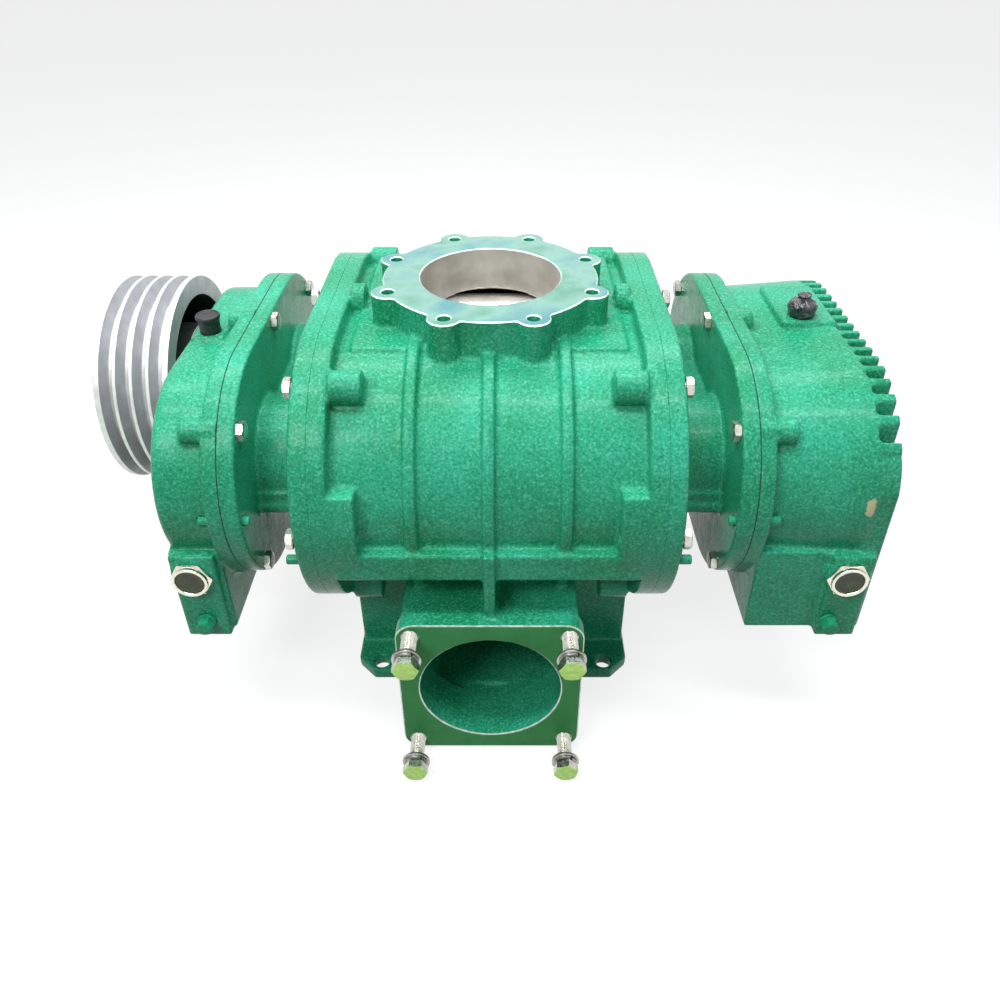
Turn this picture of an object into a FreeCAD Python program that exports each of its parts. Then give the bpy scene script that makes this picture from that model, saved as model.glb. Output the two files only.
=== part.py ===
"""Three-lobe roots vacuum pump, belt driven, with its inlet on top and its outlet in front.

Frame: millimetres, +Z up. The origin is the centre of the foot bolts on the base plane.
X runs along the shafts, from the pulley (drive end, negative) to the timing gears (gear end,
positive). The outlet faces -Y.
"""
import FreeCAD, Part
import math
import os
import re
from FreeCAD import Placement, Rotation, Vector

SIZES = {
    # Main casing
    "casing_length": (340, "main casing between its machined ends"),
    "centre_distance": (170, "between the two shafts"),
    "shaft_height": (295, "shafts above the base"),
    "inlet_height": (470, "inlet face above the base"),
    "casing_wall": (13.7, "round the rotor chamber"),
    "rim_rise": (17, "end rim above the barrel"),
    "rim_width": (18, "end rim along the shafts"),
    "rib_rise": (8, "rib above the barrel"),
    "rib_width": (12, "rib along the shafts"),
    "rib_spacing": (75.5, "between neighbouring ribs"),
    "pad_rise": (3, "top pad above the barrel"),
    "pad_length": (280, "top pad along the shafts"),
    "pad_front": (106, "top pad in front of the middle"),
    "pad_rear": (137, "top pad behind the middle"),
    "band_reach": (235, "side band out from the middle"),
    "band_top": (275, "side band, upper edge"),
    "band_bottom": (242, "side band, lower edge"),
    "boss_radius": (17, "casing boss round a plate bolt"),
    "boss_length": (32, "casing boss inside the rim"),
    "block_length": (25, "casing block inside the rim, at shaft level"),
    "block_top": (344, "casing block, upper end"),
    "edge_round": (2, "rounded edges of rims, ribs and ring flanges"),
    # Ports
    "port_bore": (152, "inlet and outlet bore"),
    "inlet_pitch_circle": (230, "inlet bolt circle"),
    "inlet_ring_radius": (116, "inlet ring between its lugs"),
    "inlet_lug_radius": (17.5, "inlet lug"),
    "inlet_tap": (14, "tapped hole in an inlet lug"),
    "inlet_tap_depth": (28, "tapped hole in an inlet lug"),
    "outlet_reach": (19, "outlet face in front of the side band"),
    "outlet_height": (101, "outlet centre above the base"),
    "outlet_side": (195, "square outlet flange"),
    "outlet_thickness": (20, "square outlet flange"),
    "outlet_corner": (20, "square outlet flange, corner radius"),
    "outlet_bolt_square": (164, "outlet bolt spacing"),
    "outlet_bore_depth": (70, "round part of the outlet behind its face"),
    "neck_width": (184, "outlet neck"),
    "neck_top": (193, "outlet neck above the base"),
    "passage_width": (140, "gas passage under the rotors"),
    "passage_floor": (30, "gas passage above the base"),
    "passage_roof": (158, "gas passage above the base"),
    # Base
    "base_length": (328, "pedestal along the shafts"),
    "base_depth": (210, "pedestal front to back"),
    "foot_length": (334, "base flange along the shafts"),
    "foot_depth": (308, "base flange front to back"),
    "foot_thickness": (16, "base flange"),
    "foot_corner": (22, "cut-off corner of the base flange"),
    "foot_bolt_x": (275, "foot bolts along the shafts"),
    "foot_bolt_y": (279, "foot bolts front to back"),
    "foot_hole": (18.5, "foot bolt hole"),
    # Rotors and shafts
    "lobe_radius": (39, "round tip of a rotor lobe about the pitch circle"),
    "flank_gap": (0.3, "each rotor, off its true flank"),
    "bore_gap": (0.3, "chamber, off the true lobe tip"),
    "end_gap": (0.4, "rotor to end plate"),
    "rotor_phase": (105, "first lobe of the drive rotor at rest, in degrees"),
    "shaft_waist": (65, "shaft through the end plates"),
    "shaft_seat": (50, "shaft at its bearings"),
    "shaft_nose": (44, "drive shaft in the pulley"),
    # End plates
    "plate_thickness": (18.5, "end plate on the casing"),
    "neck_length": (56, "bearing necks"),
    "neck_radius": (66, "bearing neck"),
    "neck_web": (92, "height of the web between the two necks"),
    "shelf_reach": (4, "cast shelf out from a neck"),
    "shelf_drop": (4, "cast shelf below the shafts"),
    "shelf_thickness": (8, "cast shelf beside a neck"),
    "oil_return_radius": (8.5, "cast oil return beside a neck"),
    "oil_return_drop": (22, "cast oil return below the shafts"),
    "ring_radius": (130, "ring flange of an end plate"),
    "ring_width": (17, "ring flange of an end plate"),
    "labyrinth_bore": (84, "end plate at its labyrinth"),
    "labyrinth_length": (17, "labyrinth ring"),
    "passage_bore": (76, "end plate between labyrinth and oil seal"),
    "oil_seal_outer": (85, "oil seal in an end plate"),
    "oil_seal_width": (10, "oil seal in an end plate"),
    "seal_gap": (0.3, "seal lip to its shaft"),
    # Bearings
    "bearing_outer": (110, "bearing bore in a neck"),
    "race_wall": (9, "outer race"),
    "inner_race_wall": (8.5, "inner race"),
    "roller_radius": (5.9, "bearing roller"),
    "roller_count": (10, "rollers in a bearing row"),
    "drive_bearing_width": (27, "roller bearing at the drive end"),
    "gear_bearing_width": (44.4, "double-row bearing at the gear end"),
    "retainer_radius": (70, "bearing retainer"),
    "retainer_bore": (76, "bearing retainer"),
    "retainer_thickness": (8, "bearing retainer"),
    "retainer_screw": (6, "bearing retainer screws"),
    "retainer_screw_head": (4, "bearing retainer screws"),
    "retainer_screw_circle": (62.5, "radius of the retainer screws about the shaft"),
    "retainer_screw_reach": (12, "bearing retainer screws into the end plate"),
    "locknut_radius": (34, "shaft locknut"),
    "locknut_width": (11, "shaft locknut"),
    "spacer_width": (13, "spacer from the bearing to the timing gear"),
    # Timing gears
    "gear_teeth": (34, "teeth of each timing gear"),
    "gear_width": (50, "timing gear"),
    "gear_backlash": (0.25, "thinning of each tooth"),
    "gear_hub_radius": (42, "timing gear hub"),
    "gear_rim_wall": (12, "timing gear rim under its teeth"),
    "gear_web_recess": (14, "timing gear web, each side"),
    # Covers
    "gasket": (0.8, "cover gasket"),
    "cover_ring_width": (16, "ring flange of a cover"),
    "cover_wall": (8, "end wall and floor of a cover"),
    "cover_bore": (107, "inside radius of a cover"),
    "drive_body_radius": (112.5, "drive end cover body"),
    "drive_body_spread": (7, "drive end cover body, front end in front of its shaft"),
    "drive_body_round": (8, "rounded outer edge of the drive end cover"),
    "drive_cover_end": (332, "drive end cover, outer end"),
    "gear_body_radius": (113, "gear cover body next to its ring"),
    "gear_head_radius": (121, "gear cover body next to its fins"),
    "gear_cover_end": (381, "gear cover end wall"),
    "fin_tip": (403, "gear cover fins"),
    "fin_spacing": (19, "gear cover fins"),
    "fin_thickness": (8, "gear cover fins"),
    "fin_count": (20, "gear cover fins"),
    "sump_floor": (143, "oil sump above the base"),
    "sump_ledge": (251, "top of the sump block"),
    "drive_plate_start": (283, "raised sump plate of the drive end cover"),
    "gear_plate_start": (354, "raised sump plate of the gear cover"),
    "gear_plate_inset": (6, "raised sump plate behind the tips of the fins"),
    "fin_side_wall": (14, "wall that closes the fins at each side"),
    "sump_plate_rise": (8, "sump plate out from the sump"),
    "sump_plate_drop": (6, "sump plate below the sump"),
    "cover_boss_radius": (13, "cover boss round a ring bolt"),
    "cover_boss_end": (300, "cover boss, outer end"),
    "top_boss_end": (291, "cover boss above and below the middle, outer end"),
    # Fasteners
    "bolt_size": (12, "plate and ring bolts"),
    "bolt_flats": (18, "plate and ring bolt heads"),
    "bolt_head": (7.5, "plate and ring bolt heads"),
    "plate_bolt_length": (45, "plate bolts"),
    "ring_bolt_length": (45, "ring bolts"),
    "thread_gap": (0.2, "thread to its hole"),
    "clearance_gap": (0.75, "shank to its clearance hole"),
    "bolt_circle_inset": (8.5, "plate bolts inside the casing rim"),
    "ring_circle_inset": (11, "ring bolts inside the ring flange"),
    "dowel_size": (10, "dowel pins"),
    "dowel_length": (55, "dowel pins"),
    "dowel_proud": (12, "dowel pins out of the end plate"),
    "dowel_angle": (11.5, "dowel pins below the shafts, in degrees about the nearer shaft"),
    "dowel_gap": (0.05, "dowel pin to its hole"),
    "ring_dowel_proud": (6.5, "dowel pins of the ring flanges, toward the casing"),
    "ring_dowel_length": (52, "dowel pins of the ring flanges"),
    "outlet_bolt_size": (16, "outlet bolts"),
    "outlet_bolt_flats": (24, "outlet bolt heads"),
    "outlet_bolt_head": (10, "outlet bolt heads"),
    "outlet_bolt_length": (60, "outlet bolts"),
    "outlet_bolt_proud": (36, "outlet bolt shank in front of the flange"),
    "outlet_tap_spare": (4, "outlet tapped hole past its bolt"),
    "spring_washer": (4, "outlet spring washer"),
    "spring_washer_radius": (12.5, "outlet spring washer"),
    "flat_washer": (3, "outlet flat washer"),
    "flat_washer_radius": (15, "outlet flat washer"),
    # Sight glasses, plugs and caps
    "sight_height": (224, "sight glass above the base"),
    "sight_boss_radius": (22, "boss under a sight glass"),
    "sight_boss_rise": (2, "boss under a sight glass"),
    "sight_flats": (39, "sight glass"),
    "sight_hex": (4, "sight glass"),
    "sight_nose": (4, "sight glass in front of its hexagon"),
    "sight_nose_radius": (18.7, "sight glass in front of its hexagon"),
    "sight_glass": (30, "sight glass, clear part"),
    "sight_lens": (5, "thickness of the lens"),
    "sight_lens_depth": (2, "lens behind the nose"),
    "sight_thread": (33, "sight glass thread"),
    "screwed_length": (14, "sight glass and drain plug into the cover"),
    "drive_sight_x": (309, "drive sight glass from the middle"),
    "gear_sight_x": (371, "gear sight glass from the middle"),
    "drive_drain_x": (306, "drive drain plug from the middle"),
    "gear_drain_x": (364, "gear drain plug from the middle"),
    "drain_height": (161, "drain plug above the base"),
    "drain_flats": (16, "drain plug"),
    "drain_head": (14, "drain plug"),
    "drain_collar": (3, "drain plug"),
    "drain_collar_radius": (10, "drain plug"),
    "drain_thread": (14, "drain plug"),
    "cap_radius": (13.2, "oil filler cap at its top"),
    "cap_flare": (1.8, "oil filler cap, loss of radius at its foot"),
    "cap_rise": (20, "oil filler cap"),
    "cap_thread": (20, "thread of the filler cap and of the breather"),
    "cap_screwed": (11, "thread of the filler cap and of the breather"),
    "cap_place_x": (308, "oil filler cap from the middle"),
    "cap_place_y": (-20, "oil filler cap from the middle"),
    "cap_boss": (17, "half width of the boss under the filler cap"),
    "breather_radius": (15, "breather"),
    "breather_rise": (23, "breather"),
    "breather_hex": (8, "breather, its hexagon"),
    "breather_flats": (24, "breather, its hexagon"),
    "breather_place_x": (346, "breather from the middle"),
    "breather_place_y": (3, "breather from the middle"),
    "breather_pad": (60, "breather pad along the shafts"),
    "breather_pad_front": (16, "breather pad in front of the middle"),
    "filler_boss": (5, "boss and pad under cap and breather"),
    # Shaft seal and pulley
    "seal_housing_radius": (56, "drive shaft seal housing flange"),
    "seal_housing_nose": (46, "drive shaft seal housing"),
    "seal_housing_flange": (10, "drive shaft seal housing flange"),
    "seal_housing_length": (22, "drive shaft seal housing"),
    "seal_opening": (72, "drive end cover round the drive shaft"),
    "seal_spigot_gap": (0.2, "spigot of the seal housing to the cover"),
    "seal_screw": (8, "seal housing screws"),
    "seal_screw_head": (7, "seal housing screws"),
    "seal_screw_head_radius": (4.6, "seal housing screws"),
    "seal_screw_circle": (51, "radius of the seal housing screws about the shaft"),
    "seal_screw_reach": (6, "seal housing screws into the cover"),
    "lip_seal_wall": (10, "drive shaft lip seal"),
    "lip_seal_width": (8, "drive shaft lip seal"),
    "lip_seal_step": (8.5, "from one lip seal to the next"),
    "lip_seal_depth": (18, "seat of the lip seals"),
    "sleeve_inside": (22, "seal sleeve behind the cover's outer end"),
    "sleeve_step": (2, "drive shaft at its sleeve, more than in the pulley"),
    "sleeve_wall": (6, "drive shaft seal sleeve"),
    "pulley_start": (366, "pulley from the middle"),
    "pulley_width": (86, "pulley"),
    "pulley_radius": (127, "pulley"),
    "groove_pitch": (19, "belt grooves"),
    "groove_top": (15, "belt groove at the rim"),
    "groove_bottom": (5.5, "belt groove at its floor"),
    "groove_depth": (15, "belt groove"),
    "groove_count": (4, "belt grooves"),
    "pulley_rim_wall": (8, "pulley rim under its grooves"),
    "pulley_web": (18, "pulley web"),
    "pulley_hub_radius": (68, "pulley hub"),
    "bush_radius": (52, "taper bush at its wide end"),
    "bush_taper": (3, "taper bush, loss of radius"),
    "key_width": (14, "pulley key"),
    "key_depth": (9, "pulley key"),
    "key_margin": (6, "pulley key from each face of the pulley"),
    "shaft_proud": (3, "drive shaft out of the pulley"),
    "slinger_radius": (96, "oil slinger"),
    "slinger_thickness": (5, "oil slinger"),
    "slinger_clear": (8, "oil slinger from its locknut"),
}

FORMULAS = {
    "half_casing": "casing_length / 2",
    "outlet_face": "band_reach + outlet_reach",
    "pitch_radius": "centre_distance / 2",
    "chamber_radius": "pitch_radius + lobe_radius + bore_gap",
    "barrel_radius": "chamber_radius + casing_wall",
    "rim_radius": "barrel_radius + rim_rise",
    "rib_radius": "barrel_radius + rib_rise",
    "rim_inner": "half_casing - rim_width",
    "pad_height": "shaft_height + barrel_radius + pad_rise",
    "chamber_top": "shaft_height + chamber_radius",
    "rotor_half": "half_casing - end_gap",
    "plate_outer": "half_casing + plate_thickness",
    "ring_inner": "plate_outer + neck_length",
    "ring_outer": "ring_inner + ring_width",
    "cover_inner": "ring_outer + gasket",
    "cover_ring_outer": "cover_inner + cover_ring_width",
    "bolt_circle": "rim_radius - bolt_circle_inset",
    "ring_circle": "ring_radius - ring_circle_inset",
    "sump_reach": "pitch_radius + gear_head_radius - 4",
    "sump_plate_face": "sump_reach + sump_plate_rise",
    "sight_seat": "sump_plate_face + sight_boss_rise",
    "ring_bolt_end": "ring_inner + ring_bolt_length",
    "ring_dowel_start": "ring_inner - ring_dowel_proud",
    "ring_dowel_end": "ring_dowel_start + ring_dowel_length",
    "breather_pad_start": "gear_cover_end - breather_pad",
    "drive_bearing_start": "ring_outer - drive_bearing_width",
    "gear_bearing_start": "ring_outer - gear_bearing_width",
    "retainer_outer": "ring_outer + retainer_thickness",
    "gear_start": "ring_outer + spacer_width",
    "gear_end": "gear_start + gear_width",
    "drive_top": "shaft_height + drive_body_radius",
    "gear_top": "shaft_height + gear_head_radius",
    "seal_housing_end": "drive_cover_end + seal_housing_length",
    "seal_plate_outer": "drive_cover_end + seal_housing_flange",
    "sleeve_bore": "shaft_nose / 2 + sleeve_step",
    "sleeve_outer": "sleeve_bore + sleeve_wall",
    "pulley_end": "pulley_start + pulley_width",
    "inlet_tap_radius": "inlet_tap / 2",
    "port_radius": "port_bore / 2",
    "inlet_bolt_radius": "inlet_pitch_circle / 2",
    "half_outlet_bolts": "outlet_bolt_square / 2",
}

doc = FreeCAD.newDocument("roots_pump")
sheet = doc.addObject("Spreadsheet::Sheet", "Sizes")
derived = doc.addObject("App::VarSet", "Derived")
subparts = {}


def bind(thing, prop, text):
    """Bind a property to a formula in the words of SIZES and FORMULAS."""
    def full(match):
        word = match.group(0)
        if word in SIZES:
            return "Sizes." + word
        return "Derived." + word if word in FORMULAS else word
    thing.setExpression(prop, re.sub(r"[a-z_]+", full, str(text)))


def fill_sheet():
    """Write the driving sizes to the sheet, and the sizes that follow from them."""
    for row, (name, (value, note)) in enumerate(SIZES.items(), 1):
        sheet.set(f"A{row}", name)
        sheet.set(f"B{row}", str(value))
        sheet.set(f"C{row}", note)
        sheet.setAlias(f"B{row}", name)
    doc.recompute()
    for name, text in FORMULAS.items():
        derived.addProperty("App::PropertyFloat", name, "Derived", "")
        bind(derived, name, text)
    doc.recompute()


def number(name):
    """The present value of a size or of a formula, for shapes made from their own edges."""
    return float(sheet.get(name)) if name in SIZES else getattr(derived, name)


ALONG = {"x": Rotation(Vector(0, 1, 0), 90), "y": Rotation(Vector(1, 0, 0), -90), "z": Rotation()}


def place(thing, axis, start, centre):
    """Put a round primitive with its base at start on the axis, and its centre line at centre."""
    thing.Placement = Placement(Vector(), ALONG[axis])
    others = [letter for letter in "xyz" if letter != axis]
    for letter, text in zip([axis] + others, [start] + list(centre)):
        bind(thing, f"Placement.Base.{letter}", text)


def block(name, x, y, z):
    """A box between pairs of places."""
    box = doc.addObject("Part::Box", name)
    for side, letter, (low, high) in zip(("Length", "Width", "Height"), "xyz", (x, y, z)):
        bind(box, side, f"({high}) - ({low})")
        bind(box, f"Placement.Base.{letter}", low)
    return box


def rod(name, axis, radius, span, centre):
    """A cylinder along an axis, between the two places of span."""
    cylinder = doc.addObject("Part::Cylinder", name)
    bind(cylinder, "Radius", radius)
    bind(cylinder, "Height", f"({span[1]}) - ({span[0]})")
    place(cylinder, axis, span[0], centre)
    return cylinder


def taper(name, axis, radii, span, centre):
    """A cone along an axis, with one radius at each end of span."""
    cone = doc.addObject("Part::Cone", name)
    bind(cone, "Radius1", radii[0])
    bind(cone, "Radius2", radii[1])
    bind(cone, "Height", f"({span[1]}) - ({span[0]})")
    place(cone, axis, span[0], centre)
    return cone


def hexagon(name, axis, flats, span, centre):
    """A hexagonal prism along an axis, of the given width across its flats."""
    prism = doc.addObject("Part::Prism", name)
    prism.Polygon = 6
    bind(prism, "Circumradius", f"({flats}) / 2 / cos(30)")
    bind(prism, "Height", f"({span[1]}) - ({span[0]})")
    place(prism, axis, span[0], centre)
    return prism


def join(name, *shapes):
    """Fuse shapes into one solid."""
    if len(shapes) == 1:
        return shapes[0]
    fuse = doc.addObject("Part::MultiFuse", name)
    fuse.Shapes = list(shapes)
    fuse.Refine = True
    return fuse


def cut(name, base, *tools):
    """Take the tools out of the base."""
    result = doc.addObject("Part::Cut", name)
    result.Base = base
    result.Tool = join(name + "_tools", *tools)
    result.Refine = True
    return result


def meet(name, first, second):
    """Keep what two shapes have in common."""
    common = doc.addObject("Part::Common", name)
    common.Base = first
    common.Tool = second
    return common


def group(name, shapes):
    """Hold like pieces together as separate solids."""
    compound = doc.addObject("Part::Compound", name)
    compound.Links = list(shapes)
    return compound


def rounded(name, base, radius, chosen):
    """Round the edges that chosen picks out."""
    doc.recompute()
    fillet = doc.addObject("Part::Fillet", name)
    fillet.Base = base
    picked = [i for i, edge in enumerate(base.Shape.Edges, 1) if chosen(edge)]
    fillet.Edges = [(i, radius, radius) for i in picked]
    return fillet


def keep(name, thing):
    """Name a finished sub-part."""
    thing.Label = name
    subparts[name] = thing
    return thing


def flat_at(edge, place_x, slack=0.01):
    """Whether a whole edge lies across X at a place."""
    box = edge.BoundBox
    return abs(box.XMin - place_x) < slack and abs(box.XMax - place_x) < slack


class End:
    """One end of the pump: spans along X are given outward from the middle."""

    def __init__(self, name, sign):
        self.name = name
        self.sign = sign
        self.outer = 1 if sign > 0 else 0
        self.inner = 1 - self.outer

    def span(self, near, far):
        """The low and high place along X of a span given from the middle outward."""
        return (near, far) if self.sign > 0 else (f"-({far})", f"-({near})")

    def at(self, distance):
        """A place along X."""
        return distance if self.sign > 0 else f"-({distance})"


DRIVE = End("drive", -1)
GEAR = End("gear", 1)
FRONT_Y = "-pitch_radius"
REAR_Y = "pitch_radius"


def outward(side, near, far):
    """The low and high place along Y of a span given from the middle outward, to one side."""
    return (f"-({far})", f"-({near})") if side < 0 else (near, far)


def oval(name, radius, span, front=FRONT_Y):
    """The outline round both shafts: two half circles joined by flats, along X."""
    height = "shaft_height"
    return join(
        name,
        rod(name + "_front", "x", radius, span, (front, height)),
        rod(name + "_rear", "x", radius, span, (REAR_Y, height)),
        block(name + "_middle", span, (front, REAR_Y), (f"{height} - ({radius})", f"{height} + ({radius})")),
    )


def soft_oval(name, radius, span, sides=(0, 1), front=FRONT_Y, size="edge_round"):
    """An oval with rounded edges at the low side (0) of its span, the high side (1) or both."""
    base = oval(name + "_plain", radius, span, front)
    doc.recompute()
    ends = (base.Shape.BoundBox.XMin, base.Shape.BoundBox.XMax)
    return rounded(name, base, number(size), lambda edge: any(flat_at(edge, ends[i]) for i in sides))


def flared_oval(name, radii, span):
    """An oval whose radius changes along X, from one end of its span to the other."""
    height = "shaft_height"
    middle = doc.addObject("Part::Wedge", name + "_middle")
    middle.Placement = Placement(Vector(), Rotation(Vector(0, 0, 1), -90))
    bind(middle, "Ymin", span[0])
    bind(middle, "Ymax", span[1])
    for number_of_end, radius in zip(("", "2"), radii):
        bind(middle, f"X{number_of_end}min", FRONT_Y)
        bind(middle, f"X{number_of_end}max", REAR_Y)
        bind(middle, f"Z{number_of_end}min", f"{height} - ({radius})")
        bind(middle, f"Z{number_of_end}max", f"{height} + ({radius})")
    return join(
        name,
        taper(name + "_front", "x", radii, span, (FRONT_Y, height)),
        taper(name + "_rear", "x", radii, span, (REAR_Y, height)),
        middle,
    )


def around(circle, angles=(60, 0, -60)):
    """Bolt places on the oval: three on each round end, one above and one below the middle."""
    places = []
    for side in (-1, 1):
        for angle in angles:
            across = math.cos(math.radians(angle))
            up = math.sin(math.radians(angle))
            y = f"{side} * (pitch_radius + {circle} * {across:.6f})"
            places.append((y, f"shaft_height + {circle} * {up:.6f}"))
    places.append(("0", f"shaft_height + {circle}"))
    places.append(("0", f"shaft_height - {circle}"))
    return places


RING_ANGLES = (45, -45)


def ring_places():
    """The ring bolts of one end."""
    return around("ring_circle", RING_ANGLES)


def ring_dowel_places():
    """The dowels of the ring flanges, at shaft level on each round end."""
    return around("ring_circle", (0,))[:2]


def casing_rim(end):
    """One end rim of the casing, its bolt bosses and its two side blocks."""
    height = "shaft_height"
    solids = [soft_oval(end.name + "_rim", "rim_radius", end.span("rim_inner", "half_casing"), [end.inner])]
    top = ("0", f"{height} + bolt_circle")
    for i, centre in enumerate(around("bolt_circle")[:7]):
        if centre[1] == f"{height} + bolt_circle * {0:.6f}":
            continue
        length = "boss_length / 2" if centre == top else "boss_length"
        span = end.span(f"rim_inner - {length}", "rim_inner")
        solids.append(rod(f"{end.name}_boss_{i}", "x", "boss_radius", span, centre))
    span = end.span("rim_inner - block_length", "rim_inner")
    for side, y in ((-1, FRONT_Y), (1, REAR_Y)):
        tag = f"{end.name}_block_{side + 1}"
        reach = outward(side, "pitch_radius + chamber_radius", "pitch_radius + rim_radius + 1")
        solids.append(meet(
            tag,
            rod(tag + "_disc", "x", "rim_radius", span, (y, height)),
            block(tag + "_box", span, reach, ("band_bottom", "block_top")),
        ))
    return solids


def casing_ports():
    """The solids that carry the ports: inlet ring with its lugs, outlet neck and flange."""
    root = "chamber_top - 5"
    solids = [rod("inlet_ring", "z", "inlet_ring_radius", (root, "inlet_height"), ("0", "0"))]
    for i, centre in enumerate(inlet_bolt_places()):
        solids.append(rod(f"inlet_lug_{i}", "z", "inlet_lug_radius", (root, "inlet_height"), centre))
    neck_x = ("-neck_width / 2", "neck_width / 2")
    neck_y = ("-outlet_face + outlet_thickness / 2", "0")
    solids.append(block("outlet_neck", neck_x, neck_y, ("outlet_height * 2 - neck_top", "neck_top")))
    solids.append(outlet_flange())
    return solids


def casing_hollows():
    """What is taken out of the casting: the rotor chamber and the two gas passages."""
    tools = []
    along = ("-half_casing - 1", "half_casing + 1")
    for name, y in (("front", FRONT_Y), ("rear", REAR_Y)):
        tools.append(rod(f"chamber_{name}", "x", "chamber_radius", along, (y, "shaft_height")))
    tools.append(rod("inlet_bore", "z", "port_radius", ("shaft_height", "inlet_height + 1"), ("0", "0")))
    bore = ("-outlet_face - 1", "-outlet_face + outlet_bore_depth")
    tools.append(rod("outlet_bore", "y", "port_radius", bore, ("0", "outlet_height")))
    wide = ("-passage_width / 2", "passage_width / 2")
    behind = ("-outlet_face + outlet_bore_depth - 10", "port_radius - 16")
    tools.append(block("passage", wide, behind, ("passage_floor", "passage_roof")))
    up = ("-port_radius + 16", "port_radius - 16")
    tools.append(block("passage_riser", wide, up, ("passage_roof - 1", "shaft_height")))
    return tools


def casing_holes():
    """The tapped holes, dowel seats and foot holes of the casing."""
    tools = []
    depth = ("inlet_height - inlet_tap_depth", "inlet_height + 1")
    for i, centre in enumerate(inlet_bolt_places()):
        tools.append(rod(f"inlet_tap_{i}", "z", "inlet_tap_radius", depth, centre))
    for end in (DRIVE, GEAR):
        span = end.span("half_casing - plate_bolt_length", "half_casing + 1")
        for i, centre in enumerate(around("bolt_circle")):
            tools.append(rod(f"{end.name}_tap_{i}", "x", "bolt_size / 2 + thread_gap", span, centre))
        span = end.span("plate_outer + dowel_proud - dowel_length - 1", "half_casing + 1")
        for i, centre in enumerate(dowel_places()):
            tools.append(rod(f"{end.name}_dowel_seat_{i}", "x", "dowel_size / 2 + dowel_gap", span, centre))
    span = ("-outlet_face - 1", "-outlet_face + outlet_bolt_length - outlet_bolt_proud + outlet_tap_spare")
    for i, centre in enumerate(outlet_bolt_places()):
        tools.append(rod(f"outlet_tap_{i}", "y", "outlet_bolt_size / 2 + thread_gap", span, centre))
    for i, centre in enumerate(foot_bolt_places()):
        tools.append(rod(f"foot_hole_{i}", "z", "foot_hole / 2", ("-1", "foot_thickness + 1"), centre))
    return tools


def main_casing():
    """The cast body: barrel, rims, ribs, top pad, ports, bolt bosses and pedestal."""
    solids = [oval("barrel", "barrel_radius", ("-half_casing", "half_casing"))]
    for end in (DRIVE, GEAR):
        solids += casing_rim(end)
    for i in (-1, 0, 1):
        span = (f"{i} * rib_spacing - rib_width / 2", f"{i} * rib_spacing + rib_width / 2")
        solids.append(soft_oval(f"rib_{i + 1}", "rib_radius", span))
    for side in (-1, 1):
        y = outward(side, "pitch_radius + 60", "band_reach")
        solids.append(block(f"band_{side + 1}", ("-rim_inner", "rim_inner"), y, ("band_bottom", "band_top")))
    middle_rib = ("-rib_width / 2", "rib_width / 2")
    rib_y = ("-(band_reach + rib_rise)", "-pitch_radius")
    solids.append(block("neck_rib", middle_rib, rib_y, ("outlet_height", "band_top + 5")))
    pad_x = ("-pad_length / 2", "pad_length / 2")
    solids.append(block("top_pad", pad_x, ("-pad_front", "pad_rear"), ("chamber_top - 5", "pad_height")))
    base_x = ("-base_length / 2", "base_length / 2")
    base_y = ("-base_depth / 2", "base_depth / 2")
    solids.append(block("pedestal", base_x, base_y, ("0", "shaft_height - pitch_radius")))
    solids.append(foot_flange())
    body = join("casing_body", *solids, *casing_ports())
    keep("main_casing", cut("main_casing", body, *casing_hollows(), *casing_holes()))


def inlet_bolt_places():
    """The eight tapped lugs of the inlet."""
    places = []
    for i in range(8):
        angle = math.radians(22.5 + 45 * i)
        places.append((f"inlet_bolt_radius * {math.cos(angle):.6f}", f"inlet_bolt_radius * {math.sin(angle):.6f}"))
    return places


def foot_bolt_places():
    """The four foot bolts."""
    return [(f"{i} * foot_bolt_x / 2", f"{j} * foot_bolt_y / 2") for i in (-1, 1) for j in (-1, 1)]


def outlet_bolt_places():
    """The four outlet bolts, as places along X and Z."""
    half = "half_outlet_bolts"
    return [(f"{i} * {half}", f"outlet_height + {j} * {half}") for i in (-1, 1) for j in (-1, 1)]


def foot_flange():
    """The base flange, with its four corners cut off."""
    x = ("-foot_length / 2", "foot_length / 2")
    base = block("foot_plate", x, ("-foot_depth / 2", "foot_depth / 2"), ("0", "foot_thickness"))
    doc.recompute()
    corners = doc.addObject("Part::Chamfer", "foot_flange")
    corners.Base = base
    size = number("foot_corner")
    upright = [i for i, edge in enumerate(base.Shape.Edges, 1) if edge.BoundBox.ZLength > 1]
    corners.Edges = [(i, size, size) for i in upright]
    return corners


def outlet_flange():
    """The square outlet flange, with rounded corners."""
    half = "outlet_side / 2"
    y = ("-outlet_face", "-outlet_face + outlet_thickness")
    plate = block("outlet_plate", (f"-{half}", half), y, (f"outlet_height - {half}", f"outlet_height + {half}"))
    return rounded("outlet_flange", plate, number("outlet_corner"), lambda edge: edge.BoundBox.YLength > 1)


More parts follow.
